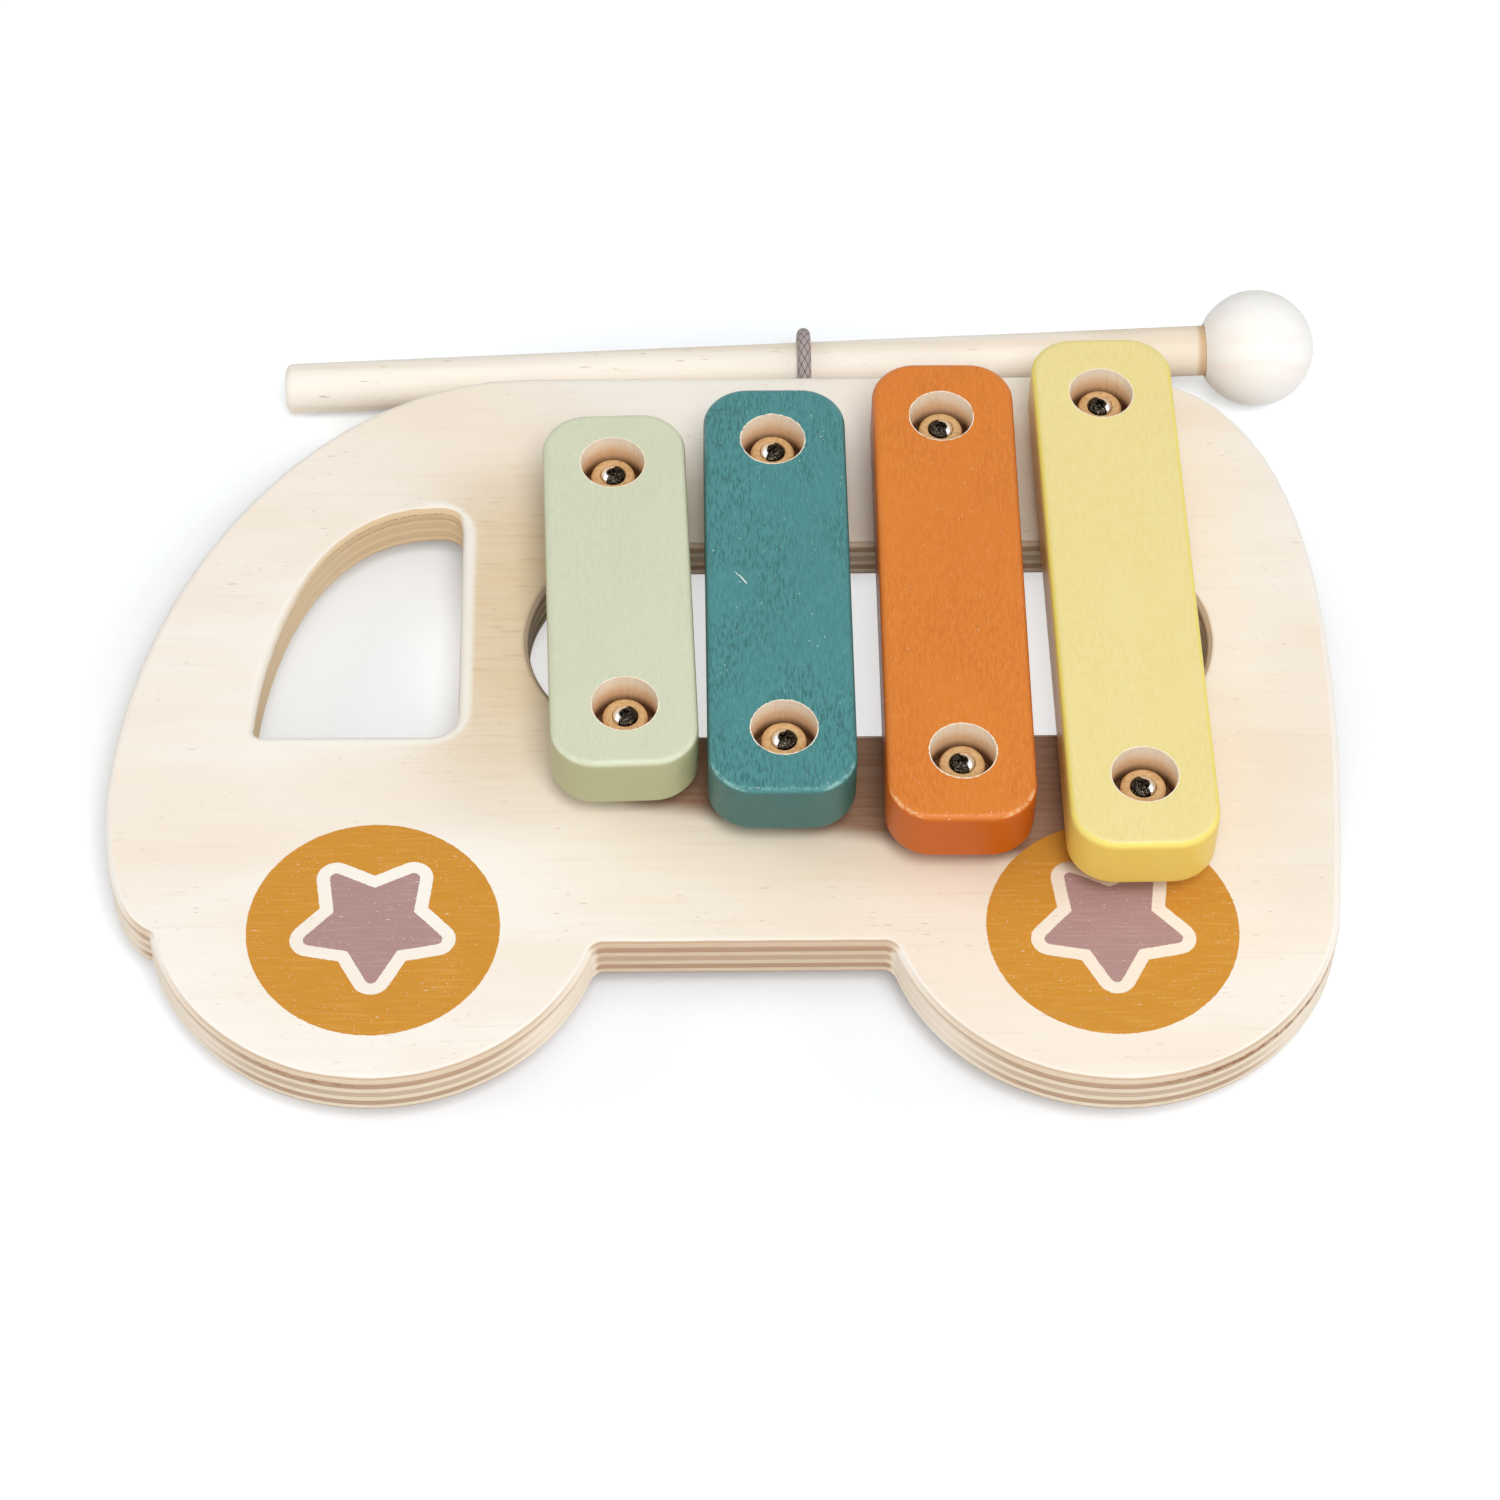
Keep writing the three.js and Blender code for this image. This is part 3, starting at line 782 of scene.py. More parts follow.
    def scorches(self, depth):
        """Burnt streaks on both bulges, where the router lingered."""
        finish = self.finish
        streaks = finish.noise(0.0011, stretch=(0.45, 0.45, 1), detail=4, roughness=0.7, shift=2)
        line = (depth - 1.7).size().rise(0.8, 0.3)
        coats = []
        for across, up, reach, core, low, high, strength in SCORCHES:
            place = (self.middle_x + across, self.middle_y + up)
            near = distance(self.x, self.y, place).rise(reach, core)
            coats.append((near * line * streaks.rise(low, high) * strength, self.board.scorch))
        return coats

    def inks(self):
        """The worn ink of the two printed wheels."""
        finish, prints = self.finish, self.prints
        rub = finish.noise(0.0006, stretch=(0.06, 1, 1), detail=3, shift=4)
        specks = finish.noise(0.00042, detail=1, shift=6).rise(0.72, 0.76)
        dashes = finish.noise(0.00045, stretch=(0.22, 1, 1), detail=1, shift=8).rise(0.745, 0.78)
        ragged = (finish.noise(0.0008, detail=3, shift=1) - 0.5) * PRINT_RAGGEDNESS
        on_face = self.z.rise(self.top - 0.00012, self.top - 0.00004)
        kept = on_face * (1 - specks.most(dashes) * 0.85)
        ochre = finish.coats(prints.ochre, (rub.rise(0.46, 0.78) * 0.7, prints.ochre_worn),
                             (self.grain.rise(0.56, 0.8) * 0.24, self.board.fleck))
        mauve = finish.blend(rub.rise(0.46, 0.78) * 0.65, prints.mauve, prints.mauve_worn)
        coats = []
        for across, up in ((prints.nose_disc_x, prints.nose_disc_y),
                           (prints.tail_disc_x, prints.tail_disc_y)):
            centre = (self.middle_x + across, self.middle_y + up)
            disc = (distance(self.x, self.y, centre) + ragged).rise(
                prints.disc_radius + PRINT_SOFTNESS, prints.disc_radius - PRINT_SOFTNESS)
            border, fill = star_masks(finish, prints, self.x, self.y, centre)
            coats += [(disc * (1 - border) * kept, ochre), (fill * kept, mauve)]
        return coats


# How each bar's paint is worn. Colours: cloud and dark lie in the paint, and pale shows where it
# is thin; on the front corners of teal and green, pale is a painted highlight. The other numbers
# say how strong each mark is, but shift, which moves the noise.
# Scratches are pairs of points, measured from the bar's front hole.
BAR_LOOKS = {
    "green": {
        "cloud": linear(0xcdd3b3), "dark": linear(0xb9c09e), "pale": linear(0xe6e9d4),
        "rim_colour": linear(0xd9dfba), "grain": 0.16, "pale_grain": 0.15, "specks": 0.2,
        "rim": 0.2, "rubbed_and_lit": 0.6, "chips": 0.1, "relief": 0.3, "gloss": 0.35, "shift": 1,
        "scratches": (),
    },
    "teal": {
        "cloud": linear(0x437f7e), "dark": linear(0x275b5e), "pale": linear(0x8fc0bb),
        "rim_colour": linear(0x4d9490), "grain": 0.62, "pale_grain": 0.1, "specks": 0.6,
        "rim": 0.15, "rubbed_and_lit": 0.8, "chips": 0.1, "relief": 1.0, "gloss": 0.4, "shift": 21,
        "scratches": (((-0.0102, 0.0434), (-0.0088, 0.0420)),
                      ((-0.0088, 0.0420), (-0.0076, 0.0402))),
    },
    "orange": {
        "cloud": linear(0xd67830), "dark": linear(0xbd6422), "pale": linear(0xf0b27a),
        "rim_colour": linear(0xd96f24), "grain": 0.3, "pale_grain": 0.12, "specks": 0.5,
        "rim": 0.3, "rubbed_and_lit": 1.0, "chips": 0.8, "relief": 0.6, "gloss": 0.3, "shift": 41,
        "scratches": (),
    },
    "yellow": {
        "cloud": linear(0xeddb8e), "dark": linear(0xe0c878), "pale": linear(0xfaf0c0),
        "rim_colour": linear(0xf3e14c), "grain": 0.2, "pale_grain": 0.15, "specks": 0.2,
        "rim": 0.62, "rubbed_and_lit": 0.1, "chips": 0.1, "relief": 0.3, "gloss": 0.35, "shift": 61,
        "scratches": (),
    },
}


def bar_paint(bars, name, holes, top):
    """Matt paint over lengthwise grain, worn off round the counterbores."""
    face, side, look = getattr(bars, name), getattr(bars, name + "_side"), BAR_LOOKS[name]
    finish = Finish("painted_" + name)
    x, y, z = finish.parts(finish.position)
    facing_x, facing_y, facing_z = finish.parts(finish.facing)
    shift = look["shift"]
    clouds = finish.noise(0.02, stretch=(1, 0.4, 1), detail=3, shift=shift)
    grain = finish.noise(0.00042, stretch=(1, 0.2, 1), detail=3, roughness=0.6, shift=shift + 3)
    crowd = finish.noise(0.012, stretch=(1, 0.6, 1), detail=2, shift=shift + 7)
    pores = finish.noise(0.0005, stretch=(1, 0.6, 1), detail=1, shift=shift + 5)
    chips = finish.noise(0.0012, detail=4, roughness=0.7, shift=shift + 9)

    dark_grain = grain.rise(0.49, 0.64) * (0.35 + crowd.rise(0.35, 0.6) * 0.65)
    coats = [(clouds.rise(0.3, 0.75) * 0.35, look["cloud"]),
             (dark_grain * look["grain"], look["dark"]),
             (grain.rise(0.46, 0.32) * look["pale_grain"], look["pale"]),
             (pores.rise(0.24, 0.20) * look["specks"], PAINT_SPECK)]
    for ends in look["scratches"]:
        start, end = (Vector(place) + holes[1] for place in ends)
        scratch = from_run(x, y, start, end - start)[0].rise(0.00022, 0.00008)
        coats.append((scratch * pores.rise(0.3, 0.55), PAINT_SPECK))
    darker = clouds.rise(0.4, 0.7) * 0.3 + grain.rise(0.5, 0.8) * 0.3
    # The side colour is painted shade on the upright faces
    wall = finish.blend(darker, side, look["dark"])

    rim = (facing_z * facing_z * (1 - facing_z * facing_z)) * 4
    corner = facing_x.size().rise(0.10, 0.28) * facing_y.rise(-0.10, -0.28)
    # Pale front corners: worn paint on the orange bar, a painted highlight on teal and green
    rubbed_and_lit = rim.rise(0.6, 0.95) * corner * chips.rise(0.38, 0.56) * look["rubbed_and_lit"]
    chipped = rim.rise(0.45, 0.8) * chips.rise(0.66, 0.71) * look["chips"]
    near = distance(x, y, holes[0]).least(distance(x, y, holes[1]))
    ragged = finish.noise(0.0009, detail=3, roughness=0.6, shift=shift + 1)
    in_bore = (near - ragged * 0.00075).rise(bars.bore_radius - 0.00012, bars.bore_radius - 0.00020)
    worn = chipped.most(in_bore)

    tint = finish.coats(face, *coats, (facing_z.rise(0.75, 0.25), wall),
                        (rim.rise(0.45, 0.95) * look["rim"], look["rim_colour"]),
                        (rubbed_and_lit, look["pale"]),
                        (worn, bare_wood(finish, bars, (top - z) * MILLIMETRES)))
    roughness = 0.36 + worn * 0.3 + (grain - 0.5) * 0.15
    relief = (grain * (-0.5 * look["relief"]) - worn * 0.6 + clouds * 0.4
              - dark_grain * look["relief"])
    return finish.surface(tint, roughness, look["gloss"], relief, 0.00006)


def bare_wood(finish, bars, sunk):
    """A bar's own wood, with painted shade that makes it darker the more millimetres it lies under
    the bar's top.
    """
    fibre = finish.noise(0.0006, stretch=(1, 1, 0.12), detail=3, shift=2)
    streak = finish.noise(0.002, stretch=(1, 1, 0.25), detail=2, shift=14)
    marks = fibre.rise(0.45, 0.8) * 0.35 + streak.rise(0.5, 0.8) * 0.2
    return finish.coats(bars.bare, (marks, bars.bare_warm),
                        # Painted shade, deeper down the counterbore
                        (sunk.rise(0.8, 6.0) * (0.6 + fibre * 0.4), bars.bare_warm),
                        (sunk.rise(5.6, 9.0) * (0.75 + fibre * 0.4), bars.deep_bore_shade))


def ring_rubber(fittings):
    finish = Finish("tan_rubber")
    mottle = finish.noise(0.0009, detail=3)
    grit = finish.noise(0.00022, detail=2, shift=4)
    tint = finish.coats(fittings.ring, (mottle.rise(0.35, 0.7) * 0.5, RING_SHADE),
                        (grit.rise(0.58, 0.72) * 0.5, RING_GRIT))
    return finish.surface(tint, 0.66 + mottle * 0.16, 0.3, mottle + grit * 0.6, 0.00005)


def plated_steel(middle, top):
    """Steel painted nearly black, a painted reflection of the dark room that a chrome head mirrors,
    with a painted highlight crescent on the outer side of each head.
    """
    finish = Finish("plated_steel")
    x, _, height = finish.parts(finish.position)
    facing_x, facing_y, facing_z = finish.parts(finish.facing)
    pits = finish.noise(0.00026, detail=3, roughness=0.75)
    tone = finish.noise(0.0009, detail=2, shift=5)
    outward = facing_x * (x.rise(middle - 0.004, middle + 0.004) * 2 - 1)
    wander = (finish.noise(0.002, detail=1, shift=8) - 0.5) * 0.0003
    # Painted highlight: a crescent on the outer and back side of each head's rim
    painted_glint = ((height + wander).rise(top - 0.00018, top - 0.00028) * facing_z.rise(0.999, 0.985)
              * (outward + facing_y * 0.5).rise(0.08, 0.16))
    tint = finish.coats(DARK_REFLECTION, (pits.rise(0.56, 0.66), PITTED),
                        (tone.rise(0.55, 0.8) * 0.3, DULL_STEEL), (painted_glint, GLINT_WHITE))
    return finish.surface(tint, 0.24 + pits * 0.3 - painted_glint * 0.2, 0.5, pits * (1 - painted_glint),
                          0.00009, metallic=1)


def foot_rubber(fittings):
    finish = Finish("dark_rubber")
    grit = finish.noise(0.0004, detail=3)
    cloud = finish.noise(0.004, detail=2, shift=3)
    tint = finish.blend(grit.rise(0.4, 0.75) * 0.3 + cloud * 0.2, fittings.foot, FOOT_BLOOM)
    return finish.surface(tint, 0.7 + grit * 0.2, 0.3, grit, 0.00008)


def turned_beech(name, pale, streak, stretch, strength, ball_shade_from=1):
    """Sanded beech, with painted shade from a given X onward along the stick, darkest right by the
    ball where its shadow falls.
    """
    finish = Finish(name)
    x = finish.parts(finish.position)[0]
    short = tuple(min(1, 3 * part) for part in stretch)
    grain = finish.noise(0.0008, stretch=stretch, detail=3, roughness=0.6)
    bands = finish.noise(0.005, stretch=stretch, detail=2, shift=5)
    flecks = finish.noise(0.0006, stretch=short, detail=1, shift=8).rise(0.73, 0.8)
    tint = finish.coats(pale, (bands.rise(0.42, 0.75) * 0.6, streak),
                        # Painted shade toward the ball, and the ball's painted shadow next to it
                        (x.rise(ball_shade_from, ball_shade_from + 0.016) * 0.42, BALL_SHADE),
                        (x.rise(ball_shade_from + 0.0335, ball_shade_from + 0.0352) * 0.75, BALL_SHADOW),
                        (grain.rise(0.55, 0.8) * 0.3 * strength, streak),
                        (flecks * 0.5 * strength, BEECH_FLECK))
    return finish.surface(tint, 0.5 + grain * 0.15, 0.14, grain - flecks * 0.6, 0.00005)


def braided_elastic(loop):
    """Two families of strands cross round the cord, by its own unwrapped surface."""
    finish = Finish("braided_elastic")
    along, around = finish.parts(finish.uv)[:2]
    first = along / loop.braid_pitch + around * 3
    second = along / loop.braid_pitch - around * 3
    weave = (first * math.tau).sine() * (second * math.tau).sine()
    over = weave.rise(-0.05, 0.05)
    ridges = [(family * (3 * math.tau)).sine().size() for family in (first, second)]
    ridge = ridges[0] * over + ridges[1] * (1 - over)
    height = ridge * 0.5 + weave.size().rise(0, 0.35) * 0.5
    fuzz = finish.noise(0.0003, detail=3)
    # Painted shade in the grooves between the strands
    tint = finish.coats(loop.groove_shade, (height.rise(0.15, 0.85), loop.strand),
                        (fuzz.rise(0.5, 0.8) * 0.3, CORD_FUZZ))
    return finish.surface(tint, 0.82 + fuzz * 0.1, 0.2, height + fuzz * 0.4, 0.00022)


# Operators

OVERCUT = 0.001
BLADE_TAPER = (0.55, 0.75, 1)

# Flat sides of each round shape
PILOT_SIDES = 16
CORD_HOLE_SIDES = 24
BORE_SIDES = 48
RING_SIDES = 40
SCREW_SIDES = 32
FOOT_SIDES = 48
MALLET_SIDES = 64
CORD_SIDES = 16


class XYLO_OT_board(Operator):
    """Cut the plywood board and print its wheels"""

    bl_idname = "xylophone.board"
    bl_label = "Board"

    def execute(self, context):
        settings = context.scene.xylophone
        board = settings.board
        low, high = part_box("bus_board")
        middle = ((low.x + high.x) / 2, high.y - board.depth / 2)
        mesh = slab("board", self.outlines(board), board.thickness, board.rounding,
                    resolution=16, bevel_steps=3)
        mesh.transform(Matrix.Translation((*middle, (low.z + high.z) / 2)))
        piece = new_piece("ply_board", mesh)
        cutters = [self.pilot(f"screw_{name}_{end}", settings.fittings.ring_hole, high.z)
                   for name in BARS for end in ENDS]
        carve(piece, *cutters, self.cord_hole(settings.loop, high.y))
        wood = Plywood(settings, middle, high.z).material()
        settle(piece, wood, "toy", "plywood", "bus_board", sharp=40)
        flat_caps(piece)
        return {"FINISHED"}

    def pilot(self, screw, radius, top):
        """The cutter of a screw's hole."""
        bottom, centre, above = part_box(screw)[0].z - 0.0005, middle_of(screw), top + OVERCUT
        profile = [(0, bottom), (radius, bottom), (radius, above), (0, above)]
        place = Matrix.Translation((centre.x, centre.y, 0))
        return new_piece("pilot", turned("pilot", profile, PILOT_SIDES, place))

    def cord_hole(self, loop, back):
        """The cutter of the hole that the loop's ends go into."""
        ring = middle_of("elastic_loop")
        depth, radius = loop.hole_depth + OVERCUT, loop.hole_radius
        beyond = depth + 0.003
        profile = [(0, 0), (radius, 0), (radius, beyond), (0, beyond)]
        lying = Matrix.Rotation(-math.pi / 2, 4, "X")
        place = Matrix.Translation((ring.x, back - depth, ring.z)) @ lying
        return new_piece("cord_hole", turned("cord_hole", profile, CORD_HOLE_SIDES, place))

    def outlines(self, board):
        return self.rim(board), self.window(board), self.slot(board)

    def rim(self, board):
        """From the nose over both wheel bulges, the tail and the roof back to the nose."""
        length, depth = board.length, board.depth
        half_length, half_depth = length / 2, depth / 2
        radius, corner = board.wheel_radius, board.arch_corner
        wheel_y = radius - half_depth
        tail_y = wheel_y - board.tail_wheel_drop
        nose_x = radius + board.nose_wheel_inset - half_length
        tail_x = half_length - board.tail_wheel_inset - radius
        arch_y = board.arch_depth - half_depth - corner
        nose_arch = math.asin((arch_y - wheel_y) / (radius + corner))
        tail_arch = math.asin((arch_y - tail_y) / (radius + corner))
        nose_arch_x = nose_x + (radius + corner) * math.cos(nose_arch)
        tail_arch_x = tail_x - (radius + corner) * math.cos(tail_arch)
        bumper = board.bumper_angle
        start = (nose_x + radius * math.cos(bumper), wheel_y + radius * math.sin(bumper))

        rim = Outline(*start)
        rim.arc(nose_x, wheel_y, radius, bumper, math.tau + nose_arch)
        rim.arc(nose_arch_x, arch_y, corner, math.pi + nose_arch, math.pi / 2)
        rim.arc(tail_arch_x, arch_y, corner, math.pi / 2, -tail_arch)
        rim.arc(tail_x, tail_y, radius, math.pi - tail_arch, math.tau + board.tail_seam_angle)
        rim.share_curve(((0.44, 0.306), (1, 0.621)), (half_length, 0.0405 * depth))
        rim.curve((half_length, 0.324 * depth), (0.457 * length, half_depth),
                  (0.334 * length, half_depth))
        rim.line((-0.167 * length, half_depth))
        rim.curve((-0.341 * length, half_depth), (-0.492 * length, 0.213 * depth),
                  (-half_length, -0.1165 * depth))
        rim.share_curve(((0.046, 0.584), (0.388, 0.914)), start)
        return rim

    def window(self, board):
        length, height = board.window_length, board.window_height
        left = board.window_nose_rail - board.length / 2
        right = left + length
        top = board.depth / 2 - board.window_roof_rail
        sill = top - height
        nose_corner, sill_corner, top_corner = (
            board.window_nose_corner, board.window_sill_corner, board.window_top_corner)

        window = Outline(left + nose_corner, sill)
        window.line((right - sill_corner, sill))
        window.corner((right, sill), (right, sill + sill_corner))
        window.line((right, top - top_corner))
        window.corner((right, top), (right - top_corner, top))
        window.curve((left + 0.211 * length, sill + 1.005 * height),
                     (left + 0.028 * length, sill + 0.375 * height), (left, sill + nose_corner))
        window.corner((left, sill), (left + nose_corner, sill))
        return window

    def slot(self, board):
        length = (board.length - board.window_nose_rail - board.window_length - board.pillar_width
                  - board.slot_tail_rail)
        end = board.slot_width / 2
        middle_x = board.length / 2 - board.slot_tail_rail - length / 2
        middle_y = board.depth / 2 - board.slot_roof_rail - end
        reach = length / 2 - end
        slot = Outline(middle_x + reach, middle_y - end)
        slot.arc(middle_x + reach, middle_y, end, -math.pi / 2, math.pi / 2)
        slot.arc(middle_x - reach, middle_y, end, math.pi / 2, 3 * math.pi / 2)
        return slot


class XYLO_OT_bars(Operator):
    """Shape and paint the four wooden bars"""

    bl_idname = "xylophone.bars"
    bl_label = "Bars"

    def execute(self, context):
        bars = context.scene.xylophone.bars
        for index, name in enumerate(BARS):
            node = f"bar_{name}"
            holes = [middle_of(f"screw_{name}_{end}").xy for end in ENDS]
            centre = middle_of(node)
            top = centre.z + bars.thickness / 2
            lean = Matrix.Rotation(getattr(bars, name + "_lean"), 4, "Z")
            mesh = self.block(bars, index, Matrix.Translation(centre) @ lean)
            piece = new_piece(f"painted_bar_{name}", mesh)
            carve(piece, *(self.bore(bars, hole, top) for hole in holes))
            paint = bar_paint(bars, name, holes, top)
            settle(piece, paint, "toy", f"paint_{name}", node, sharp=40)
            flat_caps(piece)
        return {"FINISHED"}

    def bore(self, bars, hole, top):
        """The cutter of a counterbore and of the shank's hole under it."""
        floor, above = top - bars.bore_depth, top + OVERCUT
        below = floor - 0.02
        profile = [(0, below), (bars.shank_hole, below), (bars.shank_hole, floor),
                   (bars.bore_radius, floor), (bars.bore_radius, above), (0, above)]
        place = Matrix.Translation((*hole, 0))
        return new_piece("bore", turned("bore", profile, BORE_SIDES, place))

    def block(self, bars, index, place):
        """A bar without holes, its upright edges and then its rims rounded."""
        bm = bmesh.new()
        bmesh.ops.create_cube(bm, size=1)
        sizes = (bars.width, bars.shortest + index * bars.step, bars.thickness)
        bmesh.ops.scale(bm, vec=sizes, verts=bm.verts)
        upright = [e for e in bm.edges if self.height(e) > bars.thickness / 2]
        bmesh.ops.bevel(bm, geom=upright, offset=bars.corner, segments=12, profile=0.5,
                        affect="EDGES", material=-1)
        rims = [e for e in bm.edges if self.height(e) < TOUCHING]
        bmesh.ops.bevel(bm, geom=rims, offset=bars.rounding, segments=5, profile=0.5,
                        affect="EDGES", material=-1)
        return mesh_from(bm, "bar", place)

    def height(self, edge):
        return abs(edge.verts[0].co.z - edge.verts[1].co.z)


class XYLO_OT_rings(Operator):
    """Mould the rubber rings over and under the bars"""

    bl_idname = "xylophone.rings"
    bl_label = "Rubber rings"

    def execute(self, context):
        fittings = context.scene.xylophone.fittings
        rubber = ring_rubber(fittings)
        for name in BARS:
            for end in ENDS:
                for kind, section in (("ring", self.cup), ("cushion", self.pad)):
                    node = f"{kind}_{name}_{end}"
                    place, height = stand(node)
                    mesh = turned(node, section(fittings, height), RING_SIDES, place)
                    piece = new_piece(f"rubber_{node}", mesh)
                    settle(piece, rubber, "toy", "ring_rubber", node)
        return {"FINISHED"}

    def cup(self, fittings, height):
        """The ring in a counterbore, with its lip round the screw's head."""
        seat = fittings.head_radius + fittings.head_fit
        soft = fittings.ring_rounding / 5
        points = self.outside(fittings, height)
        points += rounded(seat + soft, height - soft, soft, 90, 180, 3)
        floor = height - fittings.ring_lip
        return points + [(seat, floor), (fittings.ring_hole, floor), (fittings.ring_hole, 0)]

    def pad(self, fittings, height):
        """The cushion between a bar and the board."""
        inner, soft = fittings.ring_hole, fittings.ring_rounding / 2
        points = self.outside(fittings, height)
        points += rounded(inner + soft, height - soft, soft, 90, 180, 3)
        return points + [(inner, 0)]

    def outside(self, fittings, height):
        """The underside and the slightly waisted outer wall, up to the upper rim."""
        outer, edge = fittings.ring_radius, fittings.ring_rounding
        foot = edge / 2
        points = [(fittings.ring_hole, 0), (outer - foot, 0)]
        points += rounded(outer - foot, foot, foot, -60, 0, 3)
        points += [(outer - edge / 6, height / 2)]
        return points + rounded(outer - edge, height - edge, edge, 0, 90, 6)


class XYLO_OT_screws(Operator):
    """Turn the plated screws with their cross recesses"""

    bl_idname = "xylophone.screws"
    bl_label = "Screws"

    def execute(self, context):
        fittings = context.scene.xylophone.fittings
        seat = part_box("ring_green_back")[1].z - fittings.ring_lip
        between = (middle_of("screw_teal_front").x + middle_of("screw_orange_front").x) / 2
        steel = plated_steel(between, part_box("screw_green_back")[1].z)
        for name in BARS:
            for end in ENDS:
                node = f"screw_{name}_{end}"
                low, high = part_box(node)
                centre = middle_of(node)
                profile = self.profile(fittings, low.z, seat, high.z)
                place = Matrix.Translation((centre.x, centre.y, 0))
                piece = new_piece(f"plated_{node}", turned(node, profile, SCREW_SIDES, place))
                turn = 0.7 * BARS.index(name) + 0.4 * ENDS.index(end)
                carve(piece, *self.blades(fittings, (centre.x, centre.y, high.z), turn))
                settle(piece, steel, "toy", "screw_steel", node, sharp=42)
        return {"FINISHED"}

    def profile(self, fittings, tip, seat, top):
        """From the point over the threads and the plain shank to the domed head."""
        shank, head, rim = fittings.shank_radius, fittings.head_radius, fittings.head_rim
        pitch, root = fittings.thread_pitch, shank - fittings.thread_depth
        thread_end, plain_start, broken_edge = seat - 0.010, seat - 0.008, 0.0001
        points = [(0, tip), (root, tip + fittings.point)]
        height = tip + fittings.point + pitch / 2
        while height < thread_end:
            points += [(shank, height), (root, height + pitch / 2)]
            height += pitch
        points += [(shank, plain_start), (shank, seat), (head - broken_edge, seat),
                   (head, seat + broken_edge)]
        points += rounded(head - rim, seat + fittings.head_shoulder, rim, 0, 58, 6)
        edge, drop = points[-1][0], top - points[-1][1]
        dome = (edge * edge + drop * drop) / (2 * drop)
        reach = math.asin(edge / dome)
        for step in range(1, 7):
            turn = reach * (1 - step / 6)
            points.append((dome * math.sin(turn), top - dome * (1 - math.cos(turn))))
        return points

    def blades(self, fittings, place, turn):
        """The two crossed cutters of a recess, narrower at their lower ends."""
        sizes = (fittings.cross_length, fittings.cross_width, 2 * fittings.cross_depth)
        cutters = []
        for quarter in (0, math.pi / 2):
            bm = bmesh.new()
            bmesh.ops.create_cube(bm, size=1)
            bmesh.ops.scale(bm, vec=sizes, verts=bm.verts)
            low = [v for v in bm.verts if v.co.z < 0]
            bmesh.ops.scale(bm, vec=BLADE_TAPER, verts=low)
            matrix = Matrix.Translation(place) @ Matrix.Rotation(turn + quarter, 4, "Z")
            cutters.append(new_piece("blade", mesh_from(bm, "blade", matrix)))
        return cutters


class XYLO_OT_feet(Operator):
    """Mould the four rubber feet"""

    bl_idname = "xylophone.feet"
    bl_label = "Feet"

    def execute(self, context):
        fittings = context.scene.xylophone.fittings
        rubber = foot_rubber(fittings)
        for column in ("nose", "tail"):
            for row in ("front", "back"):
                node = f"foot_{column}_{row}"
                place, height = stand(node)
                mesh = turned(node, self.profile(fittings, height), FOOT_SIDES, place)
                piece = new_piece(f"rubber_{node}", mesh)
                settle(piece, rubber, "toy", "foot_rubber", node)
        return {"FINISHED"}

    def profile(self, fittings, height):
        """A dimpled underside, a rounded rim and a cone up to the board."""
        edge, upper, broken_edge = fittings.foot_rounding, fittings.foot_top_radius, 0.0002
        dimple = fittings.foot_radius * 0.35
        points = [(0, edge), (dimple, edge * 0.8), (dimple * 1.2, 0)]
        points += rounded(fittings.foot_radius - edge, edge, edge, -90, 10, 5)
        return points + [(upper, height - broken_edge), (upper - broken_edge, height), (0, height)]


def loop_centre(loop):
    """The middle of the ring that the cord makes round the stick."""
    low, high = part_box("elastic_loop")
    return Vector(((low.x + high.x) / 2, high.y - loop.loop_radius - loop.cord_radius,
                   (low.z + high.z) / 2))


def mallet_matrix(settings):
    """From a shape turned round Z to its place along the stick."""
    mallet = settings.mallet
    aim = Matrix.Rotation(mallet.turn, 4, "Z") @ Matrix.Rotation(math.pi / 2 - mallet.tilt, 4, "Y")
    return Matrix.Translation(loop_centre(settings.loop)) @ aim


class XYLO_OT_mallet(Operator):
    """Turn the mallet's stick and ball"""

    bl_idname = "xylophone.mallet"
    bl_label = "Mallet"

    def execute(self, context):
        settings = context.scene.xylophone
        mallet, place = settings.mallet, mallet_matrix(settings)
        stick = new_piece("beech_stick", turned("stick", self.stick(mallet), MALLET_SIDES, place))
        wood = turned_beech("beech_stick", mallet.stick, mallet.stick_streak, (0.04, 1, 1), 1,
                            ball_shade_from=0.078)
        settle(stick, wood, "mallet", "beech", "mallet_stick")
        ball = new_piece("beech_ball", turned("ball", self.ball(mallet), MALLET_SIDES, place))
        wood = turned_beech("beech_ball", mallet.ball, mallet.ball_streak, (0.12, 1, 1), 0.35)
        settle(ball, wood, "mallet", "beech", "mallet_ball")
        return {"FINISHED"}

    def stick(self, mallet):
        """From the rounded free end to the flat end in the ball."""
        start = -mallet.tail_reach
        end = mallet.ball_reach + mallet.ball_bore - mallet.ball_radius - mallet.ball_fit
        edge, radius = mallet.stick_rounding, mallet.stick_radius
        points = [(0, start)] + rounded(radius - edge, start + edge, edge, -90, 0, 8)
        return points + [(radius, end), (0, end)]

    def ball(self, mallet):
        """From the bottom of the bore over its broken edge round the ball."""
        bore, rim = mallet.stick_radius + mallet.ball_fit, mallet.bore_rim
        middle, radius = mallet.ball_reach, mallet.ball_radius
        first = math.degrees(math.acos((bore + rim) / radius))
        lip = middle - radius * math.sin(math.radians(first))
        bottom = middle - radius + mallet.ball_bore
        points = [(0, bottom), (bore, bottom), (bore, lip + rim),
                  (bore + rim * 0.3, lip + rim * 0.3)]
        points += rounded(0, middle, radius, -first, 90, 30)
        points[-1] = (0, middle + radius)
        return points


